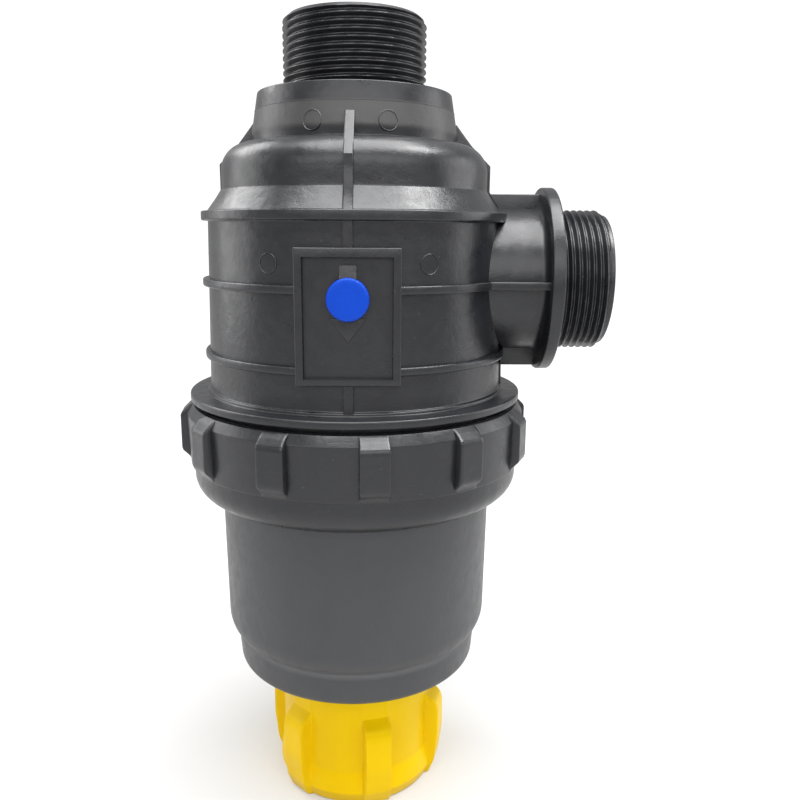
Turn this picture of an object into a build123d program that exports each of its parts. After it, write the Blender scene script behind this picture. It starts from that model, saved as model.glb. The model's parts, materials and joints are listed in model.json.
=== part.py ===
"""Suction filter with a shut-off valve, for a sprayer's suction line.

A moulded head carries two threaded male ports, one on top for the tank hose and one on the side for
the pump hose. A union nut with twelve lugs hangs the bowl under the head. The bowl holds a mesh cartridge,
which stands round the valve stem. The ribbed cap under the bowl screws onto the bowl's neck and carries
the stem, and the stem holds a sprung poppet off its seat in the head. Unscrewing the cap lowers the
stem, so that the poppet shuts the top port.

Z is up, the front panel faces -Y and the side port points along +X. The origin is the centre of the
foot, which is the cap's flat underside. All sizes are millimetres. Levels are stacked upwards from the
foot, and radii outwards from the bowl's base.
"""

import os

from build123d import *

os.makedirs("parts", exist_ok=True)

# Clearances
RUNNING_GAP = 0.3
SEAT_GAP = 0.1
BURIED = 1.0
SAME_PLACE = 0.01
MOULD_EDGE_R = 0.5

# Ribbed cap
CAP_FLOOR = 5.0
CAP_WALL_R = 28.4
CAP_BORE_R = 24.4
CAP_RIM_GAP = 1.5
CAP_FOOT_R = 28.6
CAP_FLARE_R = 30.2
CAP_FLARE_Z = 4.5
CAP_FLARE_RISE = 4.5
CAP_SLOPE_RISE = 3.0
CAP_EDGE_R = 0.8
CAP_RIB_COUNT = 6
CAP_RIB_FIRST_ANGLE = -74.0
CAP_RIB_WIDTH = 10.6
CAP_RIB_R = 33.2
CAP_RIB_LOW_R = 31.9
CAP_RIB_FOOT_R = 29.6
CAP_RIB_LOW_Z = 5.5
CAP_RIB_WIDE_Z = 16.0
CAP_RIB_SHOULDER_Z = 27.5
CAP_RIB_BEVEL = 1.6
CAP_RIB_BEVEL_Z = 31.2
CAP_RIB_TOP_Z = 32.8
CAP_RIB_EDGE_R = 0.8
CAP_PLUG_WALL = 3.2
CAP_PLUG_HEIGHT = 19.0
CAP_BOSS_R = 10.0
CAP_BOSS_HEIGHT = 9.0
CAP_POCKET_R = 7.0
CAP_POCKET_FLOOR = 2.0
CLIP_GROOVE = 0.8

# Bowl
NECK_R = 23.6
NECK_BORE_R = 18.0
NECK_LENGTH = 43.7
BOWL_WALL = 3.4
BOWL_BASE_R = 43.7
BOWL_BASE_EDGE_R = 3.2
BOWL_STEP_Z = 8.5
BOWL_STEP_OUT = 0.6
BOWL_CURVE_RISE = 9.8
BOWL_CURVE_OUT = 3.5
BOWL_DRAFT = 0.8
BOWL_FLANGE_OUT = 5.8
BOWL_HEIGHT = 76.3
BOWL_SEAT_IN = 5.3
BOWL_SEAT_RISE = 2.0
BOWL_RIM_RISE = 4.5
BOWL_RIM_WALL = 1.3

# Union nut
NUT_GAP = 1.7
NUT_HEIGHT = 32.7
NUT_WALL = 4.1
NUT_DRAFT = 0.6
NUT_TOP_IN = 2.1
NUT_TOP_BEVEL = 3.1
NUT_SKIRT_IN = 1.8
NUT_SKIRT_HEIGHT = 12.0
NUT_EDGE_R = 8.5
NUT_LIP = 5.2
NUT_THREAD_GAP = 1.2
NUT_LUG_COUNT = 12
NUT_LUG_FIRST_ANGLE = -82.3
NUT_LUG_PROUD = 2.3
NUT_LUG_WIDTH = 9.3
NUT_LUG_DROP = 0.5
NUT_LUG_HEIGHT = 19.6
NUT_LUG_BEVEL = 3.3
NUT_LUG_EDGE_R = 0.6

# Head
SPIGOT_LENGTH = 10.2
SPIGOT_WALL = 4.3
SPIGOT_ROOT = 3.0
SKIRT_IN = 0.2
SKIRT_LENGTH = 23.4
FLANGE_PROUD = 0.7
FLANGE_THICK = 2.6
FLANGE_RISE = 1.1
FLANGE_STEP_OUT = 1.0
BARREL_IN = 4.4
BARREL_DRAFT = 1.2
BARREL_WALL = 3.6
BARREL_LENGTH = 56.5
RING_PROUD = 2.3
RING_THICK = 3.1
SLOPE_RISE = 7.0
SLOPE_FOOT_OUT = 0.3
SHOULDER_IN = 4.8
SHOULDER_WALL = 3.5
SHOULDER_RISE = 14.9
SHOULDER_EDGE_R = 9.0
COLLAR_IN = 10.6
COLLAR_BULGE = 0.6
COLLAR_WIDE_RISE = 5.0
COLLAR_TOP_IN = 1.8
COLLAR_RISE = 16.2
COLLAR_EDGE_R = 0.8
PORT_LENGTH = 24.0
PORT_THREAD_R = 23.9
PORT_BORE_R = 19.0
PORT_CHAMFER = 1.5
PORT_RELIEF_R = 22.6
PORT_RELIEF = 1.7
BAND_PROUD = 2.5
BAND_THICK = 2.6
BAND_DROP = 0.7
LOW_BAND_DROP = 24.2
SIDE_PORT_DROP = 19.4
SIDE_TUBE_R = 24.3
SIDE_FLANGE_R = 31.4
SIDE_REACH = 13.6
SIDE_FLANGE_THICK = 4.3
SIDE_THREAD_LENGTH = 18.1
SIDE_THREAD_CHAMFER = 2.4
SIDE_FILLET = 2.5
TOP_WEB_R = 29.1
FOOT_WEB_R = 30.4
FLAT_WEB_R = 27.5
FIN_THICK = 3.1
FIN_PROUD = 1.1
FIN_TOP_DROP = 9.0
FIN_SHOULDER_DROP = 5.0
PANEL_WIDTH = 31.2
PANEL_DROP = 7.7
PANEL_HEIGHT = 40.4
PANEL_SIDE_BAR = 2.4
PANEL_TOP_BAR = 2.8
PANEL_FOOT_BAR = 2.1
PANEL_PROUD = 3.0
PANEL_POCKET = 2.2
ARROW_PROUD = 0.4
ARROW_SHAFT = 5.2
ARROW_HEAD = 11.0
ARROW_HEAD_LENGTH = 7.0
ARROW_TOP_GAP = 2.2
ARROW_LENGTH = 22.5

# Valve housing inside the head
VALVE_TUBE_WALL = 3.4
VALVE_TUBE_LENGTH = 41.0
VALVE_POCKET_STEP = 1.6
VALVE_POCKET_DEPTH = 8.2
HEAD_TOP_WALL = 3.0
SNAP_RING_THICK = 1.2
SNAP_RING_WIDTH = 2.6
SNAP_GROOVE = 1.2
SEAT_HOLE_R = 17.2
SEAT_THICK = 5.4
SEAT_LIP_R = 19.5
SEAT_LIP = 1.5

# Poppet, stem and spring
VALVE_LIFT = 8.0
POPPET_R = 22.5
POPPET_THICK = 2.5
POPPET_RIM = 0.7
POPPET_RIM_DEPTH = 1.0
POPPET_SEAL = 2.0
POPPET_HUB_R = 5.8
POPPET_CLAMP_R = 9.0
POPPET_CLAMP = 1.5
POPPET_SPIGOT_R = 3.0
POPPET_COLLAR_WALL = 1.5
POPPET_COLLAR = 2.0
POPPET_WING_THICK = 1.8
POPPET_WING_LENGTH = 11.0
POPPET_WING_COUNT = 4
STEM_R = 4.0
STEM_HOLE_DEPTH = 7.5
STEM_FOOT_R = 6.6
STEM_FOOT = 3.0
STEM_CLIP_R = 4.8
STEM_CLIP_THICK = 1.2
CLIP_OPENING = 4.0
SPRING_R = 20.4
SPRING_WIRE_R = 0.7
SPRING_TURNS = 4.0

# Cartridge
CAGE_GAP = 4.4
CAGE_SOCKET_WALL = 3.2
CAGE_RIB_DEPTH = 2.2
CAGE_END_WIDTH = 5.2
CAGE_RING = 8.0
CAGE_SOCKET = 5.8
CAGE_RIB_COUNT = 6
CAGE_RIB_WIDTH = 4.0
CAGE_HOOP_COUNT = 3
CAGE_HOOP_HEIGHT = 2.6
CAGE_HUB_R = 7.0
CAGE_HUB_HEIGHT = 6.0
CAGE_ARM_WIDTH = 3.0
CAGE_ARM_COUNT = 3
CAGE_SEAL = 2.0
MESH_THICK = 0.6

# Seals
BOWL_SEAL_R = 1.15
CAP_SEAL_R = 1.15
SEAT_SEAL_R = 0.95
GROOVE_SIDE = 0.2
SEAL_FOOT_GAP = 2.6
CAP_SEAL_DROP = 3.6

# Round marker plug on the front panel
PLUG_R = 6.35
PLUG_THICK = 2.6
PLUG_EDGE_R = 0.6
PLUG_DROP = 3.2
PLUG_SHANK_R = 4.5
PLUG_SHANK = 4.4
PLUG_BOSS_WALL = 1.8
PLUG_BOSS_FLOOR = 1.6

# Levels, upwards from the foot
BOWL_BASE_Z = CAP_FLOOR + NECK_LENGTH
CAP_TOP_Z = BOWL_BASE_Z - CAP_RIM_GAP
BOWL_MOUTH_Z = BOWL_BASE_Z + BOWL_HEIGHT
SPIGOT_FOOT_Z = BOWL_MOUTH_Z - SPIGOT_LENGTH
FLANGE_Z = BOWL_MOUTH_Z + SKIRT_LENGTH
BARREL_FOOT_Z = FLANGE_Z + FLANGE_THICK + FLANGE_RISE
RING_Z = BARREL_FOOT_Z + BARREL_LENGTH
SLOPE_Z = RING_Z + RING_THICK
SHOULDER_Z = SLOPE_Z + SLOPE_RISE
COLLAR_Z = SHOULDER_Z + SHOULDER_RISE
COLLAR_TOP_Z = COLLAR_Z + COLLAR_RISE
PORT_TOP_Z = COLLAR_TOP_Z + PORT_LENGTH
NUT_TOP_Z = FLANGE_Z - NUT_GAP
NUT_FOOT_Z = NUT_TOP_Z - NUT_HEIGHT
BOWL_FLANGE_Z = NUT_FOOT_Z + NUT_LIP
SIDE_PORT_Z = RING_Z - SIDE_PORT_DROP
BAND_Z = SIDE_PORT_Z - BAND_DROP
LOW_BAND_Z = BAND_Z - LOW_BAND_DROP
CHAMBER_TOP_Z = COLLAR_TOP_Z - HEAD_TOP_WALL
TUBE_END_Z = COLLAR_TOP_Z - VALVE_TUBE_LENGTH
SEAT_TOP_Z = TUBE_END_Z + VALVE_POCKET_DEPTH
SEAT_FOOT_Z = SEAT_TOP_Z - SEAT_THICK
PANEL_TOP_Z = RING_Z - PANEL_DROP
PANEL_FOOT_Z = PANEL_TOP_Z - PANEL_HEIGHT
PLUG_Z = SIDE_PORT_Z - PLUG_DROP
SEAL_Z = SEAT_TOP_Z + SEAT_LIP + SEAT_GAP + VALVE_LIFT
POPPET_Z = SEAL_Z + POPPET_SEAL
POPPET_TOP_Z = POPPET_Z + POPPET_THICK
WING_FOOT_Z = SEAL_Z - POPPET_WING_LENGTH
STEM_FOOT_Z = CAP_FLOOR + CAP_POCKET_FLOOR
STEM_TOP_Z = WING_FOOT_Z + STEM_HOLE_DEPTH
CLIP_Z = STEM_FOOT_Z + STEM_FOOT + RUNNING_GAP
BOWL_FLOOR_Z = BOWL_BASE_Z + BOWL_WALL
CAGE_SEAT_Z = BOWL_FLOOR_Z + BOWL_SEAT_RISE
CAGE_FOOT_Z = CAGE_SEAT_Z + CAGE_SEAL
CAGE_SOCKET_Z = TUBE_END_Z - CAGE_SEAL
CAGE_TOP_Z = CAGE_SOCKET_Z + CAGE_SOCKET
CAGE_NECK_Z = CAGE_SOCKET_Z - CAGE_RING

# Radii and reaches that follow, outwards from the bowl's base
BOWL_STEP_R = BOWL_BASE_R + BOWL_STEP_OUT
BOWL_LOW_R = BOWL_STEP_R + BOWL_CURVE_OUT
BOWL_HIGH_R = BOWL_LOW_R + BOWL_DRAFT
BOWL_MOUTH_R = BOWL_HIGH_R + BOWL_FLANGE_OUT
BOWL_BORE_R = BOWL_HIGH_R - BOWL_WALL
BOWL_SEAT_R = BOWL_BASE_R - BOWL_WALL - BOWL_SEAT_IN
SPIGOT_R = BOWL_BORE_R - RUNNING_GAP
SPIGOT_BORE_R = SPIGOT_R - SPIGOT_WALL
BARREL_TOP_R = BOWL_MOUTH_R - BARREL_IN
BARREL_LOW_R = BARREL_TOP_R + BARREL_DRAFT
FLANGE_STEP_R = BARREL_LOW_R + FLANGE_STEP_OUT
RING_R = BARREL_TOP_R + RING_PROUD
BAND_R = BARREL_TOP_R + BAND_PROUD
SLOPE_FOOT_R = BARREL_TOP_R + SLOPE_FOOT_OUT
SHOULDER_R = BARREL_TOP_R - SHOULDER_IN
COLLAR_LOW_R = SHOULDER_R - COLLAR_IN
COLLAR_WIDE_R = COLLAR_LOW_R + COLLAR_BULGE
COLLAR_TOP_R = COLLAR_LOW_R - COLLAR_TOP_IN
PANEL_FACE = BARREL_TOP_R + PANEL_PROUD
PANEL_FLOOR = PANEL_FACE - PANEL_POCKET
SIDE_FLANGE_X = BARREL_TOP_R + SIDE_REACH
SIDE_THREAD_X = SIDE_FLANGE_X + SIDE_FLANGE_THICK
SIDE_END_X = SIDE_THREAD_X + SIDE_THREAD_LENGTH
BARREL_BORE_R = BARREL_TOP_R - BARREL_WALL
SKIRT_BORE_R = BARREL_LOW_R - BARREL_WALL
SHOULDER_BORE_R = SHOULDER_R - SHOULDER_WALL
NUT_LIP_R = BOWL_HIGH_R + 2 * RUNNING_GAP
NUT_THREAD_R = BOWL_MOUTH_R + NUT_THREAD_GAP
NUT_R = NUT_THREAD_R + NUT_WALL
NUT_TOP_R = NUT_R - NUT_TOP_IN
NUT_SKIRT_R = NUT_R - NUT_SKIRT_IN
NUT_LUG_R = NUT_R + NUT_LUG_PROUD
SKIRT_R = BOWL_MOUTH_R - SKIRT_IN
FLANGE_R = NUT_TOP_R + FLANGE_PROUD
CAP_PLUG_R = NECK_BORE_R - RUNNING_GAP
CAGE_R = BOWL_STEP_R - BOWL_WALL - CAGE_GAP
CAGE_RIB_R = CAGE_R - CAGE_RIB_DEPTH
CAGE_END_R = BOWL_SEAT_R - CAGE_END_WIDTH
CAGE_SOCKET_R = CAGE_R - CAGE_SOCKET_WALL
VALVE_TUBE_R = CAGE_SOCKET_R - RUNNING_GAP
VALVE_POCKET_R = VALVE_TUBE_R - VALVE_TUBE_WALL
VALVE_CHAMBER_R = VALVE_POCKET_R - VALVE_POCKET_STEP
SNAP_RING_R = VALVE_POCKET_R - SNAP_RING_WIDTH
MESH_R = CAGE_RIB_R - SEAT_GAP
POPPET_SEAL_R = POPPET_R - POPPET_RIM - SEAT_GAP
SPRING_COLLAR_R = SPRING_R - SPRING_WIRE_R - RUNNING_GAP
WING_R = SEAT_HOLE_R - RUNNING_GAP


def corners_at(section, radius):
    """Corners of a turned section that lie at a radius."""
    return section.vertices().filter_by_position(Axis.X, radius - SAME_PLACE, radius + SAME_PLACE)


# Fin that runs down the head from the collar to the flange: its section lies in the plane of the axis
with BuildPart() as fin:
    with BuildSketch(Plane.XZ) as fin_section:
        with BuildLine() as fin_outline:
            Polyline(
                (COLLAR_LOW_R - BURIED, COLLAR_TOP_Z - FIN_TOP_DROP),
                (COLLAR_LOW_R, COLLAR_TOP_Z - FIN_TOP_DROP),
                (SHOULDER_R + FIN_PROUD, COLLAR_Z - FIN_SHOULDER_DROP),
                (SHOULDER_R + FIN_PROUD, SHOULDER_Z),
                (SLOPE_FOOT_R + FIN_PROUD, SLOPE_Z),
                (BARREL_TOP_R + FIN_PROUD, RING_Z),
                (BARREL_LOW_R + FIN_PROUD, BARREL_FOOT_Z),
                (BARREL_LOW_R - BURIED, BARREL_FOOT_Z),
                (BARREL_TOP_R - BURIED, SLOPE_Z),
                (SHOULDER_R - BURIED, SHOULDER_Z),
                (SHOULDER_R - BURIED, COLLAR_Z - SHOULDER_EDGE_R),
                (COLLAR_LOW_R - BURIED, COLLAR_Z - BURIED),
                close=True,
            )
        make_face()
    extrude(amount=FIN_THICK / 2, both=True)

# Head: the outer form is built solid, then hollowed in one turn
with BuildPart() as head_body:
    with BuildSketch(Plane.XZ) as head_section:
        with BuildLine() as head_outline:
            Polyline(
                (0, SPIGOT_FOOT_Z),
                (SPIGOT_R, SPIGOT_FOOT_Z),
                (SPIGOT_R, BOWL_MOUTH_Z),
                (SKIRT_R, BOWL_MOUTH_Z),
                (SKIRT_R, FLANGE_Z),
                (FLANGE_R, FLANGE_Z),
                (FLANGE_R, FLANGE_Z + FLANGE_THICK),
                (FLANGE_STEP_R, FLANGE_Z + FLANGE_THICK),
                (FLANGE_STEP_R, BARREL_FOOT_Z),
                (BARREL_LOW_R, BARREL_FOOT_Z),
                (BARREL_TOP_R, RING_Z),
                (RING_R, RING_Z),
                (RING_R, SLOPE_Z),
                (SLOPE_FOOT_R, SLOPE_Z),
                (SHOULDER_R, SHOULDER_Z),
                (SHOULDER_R, COLLAR_Z - SHOULDER_EDGE_R),
            )
            RadiusArc(
                (SHOULDER_R, COLLAR_Z - SHOULDER_EDGE_R),
                (SHOULDER_R - SHOULDER_EDGE_R, COLLAR_Z),
                -SHOULDER_EDGE_R,
            )
            Line((SHOULDER_R - SHOULDER_EDGE_R, COLLAR_Z), (COLLAR_LOW_R, COLLAR_Z))
            ThreePointArc(
                (COLLAR_LOW_R, COLLAR_Z),
                (COLLAR_WIDE_R, COLLAR_Z + COLLAR_WIDE_RISE),
                (COLLAR_TOP_R, COLLAR_TOP_Z - COLLAR_EDGE_R),
            )
            Polyline(
                (COLLAR_TOP_R, COLLAR_TOP_Z - COLLAR_EDGE_R),
                (COLLAR_TOP_R - COLLAR_EDGE_R, COLLAR_TOP_Z),
                (PORT_RELIEF_R, COLLAR_TOP_Z),
                (PORT_RELIEF_R, COLLAR_TOP_Z + PORT_RELIEF),
                (PORT_THREAD_R, COLLAR_TOP_Z + PORT_RELIEF),
                (PORT_THREAD_R, PORT_TOP_Z - PORT_CHAMFER),
                (PORT_THREAD_R - PORT_CHAMFER, PORT_TOP_Z),
                (0, PORT_TOP_Z),
                (0, SPIGOT_FOOT_Z),
            )
        make_face()
        fillet(corners_at(head_section, FLANGE_R), MOULD_EDGE_R)
        fillet(corners_at(head_section, RING_R), MOULD_EDGE_R)
    revolve(axis=Axis.Z)

    # Bands round the barrel
    with BuildSketch(Plane.XZ) as band_sections:
        for level in (BAND_Z, LOW_BAND_Z):
            with Locations(((BARREL_TOP_R - BURIED + BAND_R) / 2, level)):
                Rectangle(BAND_R - BARREL_TOP_R + BURIED, BAND_THICK)
        fillet(corners_at(band_sections, BAND_R), MOULD_EDGE_R)
    revolve(axis=Axis.Z)

    # Fins, front, back and both sides
    with PolarLocations(0, 4):
        add(fin.part)

    # Side port with its flange and neck
    with BuildSketch(Plane.XZ) as port_section:
        with BuildLine() as port_outline:
            Polyline(
                (0, SIDE_PORT_Z),
                (0, SIDE_PORT_Z + SIDE_TUBE_R),
                (SIDE_FLANGE_X - SIDE_FILLET, SIDE_PORT_Z + SIDE_TUBE_R),
            )
            RadiusArc(
                (SIDE_FLANGE_X - SIDE_FILLET, SIDE_PORT_Z + SIDE_TUBE_R),
                (SIDE_FLANGE_X, SIDE_PORT_Z + SIDE_TUBE_R + SIDE_FILLET),
                -SIDE_FILLET,
            )
            Polyline(
                (SIDE_FLANGE_X, SIDE_PORT_Z + SIDE_TUBE_R + SIDE_FILLET),
                (SIDE_FLANGE_X, SIDE_PORT_Z + SIDE_FLANGE_R),
                (SIDE_THREAD_X, SIDE_PORT_Z + SIDE_FLANGE_R),
                (SIDE_THREAD_X, SIDE_PORT_Z + PORT_RELIEF_R),
                (SIDE_THREAD_X + PORT_RELIEF, SIDE_PORT_Z + PORT_RELIEF_R),
                (SIDE_THREAD_X + PORT_RELIEF, SIDE_PORT_Z + PORT_THREAD_R),
                (SIDE_END_X - SIDE_THREAD_CHAMFER, SIDE_PORT_Z + PORT_THREAD_R),
                (SIDE_END_X, SIDE_PORT_Z + PORT_THREAD_R - SIDE_THREAD_CHAMFER),
                (SIDE_END_X, SIDE_PORT_Z),
                (0, SIDE_PORT_Z),
            )
        make_face()
        fillet(port_section.vertices().group_by(Axis.Y)[-1], MOULD_EDGE_R)
    revolve(axis=Axis((0, 0, SIDE_PORT_Z), (1, 0, 0)))

    # Webs between the barrel and the side port's flange
    with BuildSketch(Plane.YZ) as web_sections:
        with Locations((0, SIDE_PORT_Z + (TOP_WEB_R - FOOT_WEB_R) / 2)):
            Rectangle(FIN_THICK, TOP_WEB_R + FOOT_WEB_R)
        with Locations((0, BAND_Z)):
            Rectangle(2 * FLAT_WEB_R, BAND_THICK)
    extrude(amount=SIDE_FLANGE_X + BURIED)

    # Framed panel on the front
    with BuildSketch(Plane.XZ) as panel_section:
        with Locations((0, (PANEL_TOP_Z + PANEL_FOOT_Z) / 2)):
            Rectangle(PANEL_WIDTH, PANEL_HEIGHT)
    extrude(amount=PANEL_FACE)
    fillet(head_body.faces().sort_by(Axis.Y)[0].edges(), MOULD_EDGE_R)

    # Pocket in the panel
    with BuildSketch(Plane.XZ.offset(PANEL_FACE)) as pocket_section:
        with Locations((0, (PANEL_TOP_Z - PANEL_TOP_BAR + PANEL_FOOT_Z + PANEL_FOOT_BAR) / 2)):
            Rectangle(PANEL_WIDTH - 2 * PANEL_SIDE_BAR, PANEL_HEIGHT - PANEL_TOP_BAR - PANEL_FOOT_BAR)
    extrude(amount=-PANEL_POCKET, mode=Mode.SUBTRACT)

    # Flow arrow that points down, raised on the pocket's floor
    with BuildSketch(Plane.XZ.offset(PANEL_FLOOR - BURIED)) as arrow_section:
        with BuildLine() as arrow_outline:
            arrow_top = PANEL_TOP_Z - PANEL_TOP_BAR - ARROW_TOP_GAP
            arrow_neck = arrow_top - ARROW_LENGTH + ARROW_HEAD_LENGTH
            Polyline(
                (-ARROW_SHAFT / 2, arrow_top),
                (ARROW_SHAFT / 2, arrow_top),
                (ARROW_SHAFT / 2, arrow_neck),
                (ARROW_HEAD / 2, arrow_neck),
                (0, arrow_top - ARROW_LENGTH),
                (-ARROW_HEAD / 2, arrow_neck),
                (-ARROW_SHAFT / 2, arrow_neck),
                close=True,
            )
        make_face()
    extrude(amount=BURIED + ARROW_PROUD)

    # Hollow: spigot, barrel, shoulder, and the valve tube that is left standing inside
    with BuildSketch(Plane.XZ) as hollow_section:
        with BuildLine() as hollow_outline:
            Polyline(
                (0, SPIGOT_FOOT_Z),
                (SPIGOT_BORE_R, SPIGOT_FOOT_Z),
                (SPIGOT_BORE_R, BOWL_MOUTH_Z + SPIGOT_ROOT),
                (SKIRT_BORE_R, BOWL_MOUTH_Z + SPIGOT_ROOT),
                (SKIRT_BORE_R, BARREL_FOOT_Z),
                (BARREL_BORE_R, SLOPE_Z),
                (SHOULDER_BORE_R, SHOULDER_Z),
                (SHOULDER_BORE_R, COLLAR_Z - SHOULDER_EDGE_R),
            )
            RadiusArc(
                (SHOULDER_BORE_R, COLLAR_Z - SHOULDER_EDGE_R),
                (SHOULDER_R - SHOULDER_EDGE_R, COLLAR_Z - SHOULDER_WALL),
                -(SHOULDER_EDGE_R - SHOULDER_WALL),
            )
            Polyline(
                (SHOULDER_R - SHOULDER_EDGE_R, COLLAR_Z - SHOULDER_WALL),
                (VALVE_TUBE_R, COLLAR_Z - SHOULDER_WALL),
                (VALVE_TUBE_R, TUBE_END_Z),
                (VALVE_POCKET_R, TUBE_END_Z),
                (VALVE_POCKET_R, SEAT_FOOT_Z - SNAP_RING_THICK - SEAT_GAP),
                (VALVE_POCKET_R + SNAP_GROOVE, SEAT_FOOT_Z - SNAP_RING_THICK - SEAT_GAP),
                (VALVE_POCKET_R + SNAP_GROOVE, SEAT_FOOT_Z),
                (VALVE_POCKET_R, SEAT_FOOT_Z),
                (VALVE_POCKET_R, SEAT_TOP_Z),
                (VALVE_CHAMBER_R, SEAT_TOP_Z),
                (VALVE_CHAMBER_R, CHAMBER_TOP_Z),
                (PORT_BORE_R, CHAMBER_TOP_Z),
                (PORT_BORE_R, PORT_TOP_Z),
                (0, PORT_TOP_Z),
                (0, SPIGOT_FOOT_Z),
            )
        make_face()
    revolve(axis=Axis.Z, mode=Mode.SUBTRACT)

    # Side port's bore
    with BuildSketch(Plane.YZ.offset(VALVE_TUBE_R)) as bore_section:
        with Locations((0, SIDE_PORT_Z)):
            Circle(PORT_BORE_R)
    extrude(amount=SIDE_END_X - VALVE_TUBE_R, mode=Mode.SUBTRACT)

    # Groove for the bowl's seal
    with BuildSketch(Plane.XZ) as seal_groove_section:
        with Locations((SPIGOT_R - BOWL_SEAL_R, SPIGOT_FOOT_Z + SEAL_FOOT_GAP + BOWL_SEAL_R)):
            Rectangle(2 * BOWL_SEAL_R + 2 * RUNNING_GAP, 2 * BOWL_SEAL_R + GROOVE_SIDE)
    revolve(axis=Axis.Z, mode=Mode.SUBTRACT)

    # Blind boss for the marker plug, behind the panel
    with BuildSketch(Plane.XZ.offset(PANEL_FLOOR)) as plug_boss_section:
        with Locations((0, PLUG_Z)):
            Circle(PLUG_SHANK_R + PLUG_BOSS_WALL)
    extrude(amount=-(PLUG_SHANK + SEAT_GAP + PLUG_BOSS_FLOOR))
    with BuildSketch(Plane.XZ.offset(PANEL_FLOOR)) as plug_seat_section:
        with Locations((0, PLUG_Z)):
            Circle(PLUG_R + SEAT_GAP)
    extrude(amount=ARROW_PROUD, mode=Mode.SUBTRACT)
    with BuildSketch(Plane.XZ.offset(PANEL_FLOOR)) as plug_hole_section:
        with Locations((0, PLUG_Z)):
            Circle(PLUG_SHANK_R + SEAT_GAP)
    extrude(amount=-(PLUG_SHANK + SEAT_GAP), mode=Mode.SUBTRACT)

# Marker plug: a round head on a shank that is pushed into the boss
with BuildPart() as marker_plug:
    with BuildSketch(Plane.XZ.offset(PANEL_FLOOR)) as plug_head_section:
        with Locations((0, PLUG_Z)):
            Circle(PLUG_R)
    extrude(amount=PLUG_THICK)
    fillet(marker_plug.faces().sort_by(Axis.Y)[0].edges(), PLUG_EDGE_R)
    with BuildSketch(Plane.XZ.offset(PANEL_FLOOR)) as shank_section:
        with Locations((0, PLUG_Z)):
            Circle(PLUG_SHANK_R)
    extrude(amount=-PLUG_SHANK)

# Seal ring in the spigot's groove
with BuildPart() as bowl_seal:
    with BuildSketch(Plane.XZ) as bowl_seal_section:
        with Locations((BOWL_BORE_R - BOWL_SEAL_R - SEAT_GAP, SPIGOT_FOOT_Z + SEAL_FOOT_GAP + BOWL_SEAL_R)):
            Circle(BOWL_SEAL_R)
    revolve(axis=Axis.Z)

# Valve seat: a ring with a raised lip, put into the valve tube from below
with BuildPart() as valve_seat:
    with BuildSketch(Plane.XZ) as seat_section:
        with BuildLine() as seat_outline:
            Polyline(
                (SEAT_HOLE_R, SEAT_FOOT_Z),
                (VALVE_POCKET_R - SEAT_GAP, SEAT_FOOT_Z),
                (VALVE_POCKET_R - SEAT_GAP, SEAT_TOP_Z),
                (SEAT_LIP_R, SEAT_TOP_Z),
                ((SEAT_LIP_R + SEAT_HOLE_R) / 2, SEAT_TOP_Z + SEAT_LIP),
                (SEAT_HOLE_R, SEAT_TOP_Z + SEAT_LIP),
                close=True,
            )
        make_face()
        with Locations((VALVE_POCKET_R - SEAT_GAP - SEAT_SEAL_R, SEAT_FOOT_Z + SEAT_THICK / 2)):
            Rectangle(2 * SEAT_SEAL_R + GROOVE_SIDE, 2 * SEAT_SEAL_R + GROOVE_SIDE, mode=Mode.SUBTRACT)
    revolve(axis=Axis.Z)

with BuildPart() as seat_seal:
    with BuildSketch(Plane.XZ) as seat_seal_section:
        with Locations((VALVE_POCKET_R - SEAT_GAP - SEAT_SEAL_R, SEAT_FOOT_Z + SEAT_THICK / 2)):
            Circle(SEAT_SEAL_R)
    revolve(axis=Axis.Z)

# Snap ring under the seat, open on one side
with BuildPart() as seat_snap_ring:
    with BuildSketch(Plane.XY.offset(SEAT_FOOT_Z - SNAP_RING_THICK)) as snap_ring_section:
        Circle(VALVE_POCKET_R + SNAP_GROOVE - SEAT_GAP)
        Circle(SNAP_RING_R, mode=Mode.SUBTRACT)
        with Locations((0, SNAP_RING_R)):
            Rectangle(CLIP_OPENING, SNAP_RING_R / 2, mode=Mode.SUBTRACT)
    extrude(amount=SNAP_RING_THICK)

# Poppet: a disc with a rim round its rubber seal and a collar that centres the spring
with BuildPart() as poppet_disc:
    with BuildSketch(Plane.XZ) as disc_section:
        with BuildLine() as disc_outline:
            Polyline(
                (POPPET_SPIGOT_R + SEAT_GAP, POPPET_Z),
                (POPPET_SEAL_R + SEAT_GAP, POPPET_Z),
                (POPPET_SEAL_R + SEAT_GAP, POPPET_Z - POPPET_RIM_DEPTH),
                (POPPET_R, POPPET_Z - POPPET_RIM_DEPTH),
                (POPPET_R, POPPET_TOP_Z),
                (SPRING_COLLAR_R, POPPET_TOP_Z),
                (SPRING_COLLAR_R, POPPET_TOP_Z + POPPET_COLLAR),
                (SPRING_COLLAR_R - POPPET_COLLAR_WALL, POPPET_TOP_Z + POPPET_COLLAR),
                (SPRING_COLLAR_R - POPPET_COLLAR_WALL, POPPET_TOP_Z),
                (POPPET_SPIGOT_R + SEAT_GAP, POPPET_TOP_Z),
                close=True,
            )
        make_face()
    revolve(axis=Axis.Z)

with BuildPart() as poppet_seal:
    with BuildSketch(Plane.XY.offset(SEAL_Z)) as poppet_seal_section:
        Circle(POPPET_SEAL_R)
        Circle(POPPET_SPIGOT_R + SEAT_GAP, mode=Mode.SUBTRACT)
    extrude(amount=POPPET_SEAL)

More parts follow.
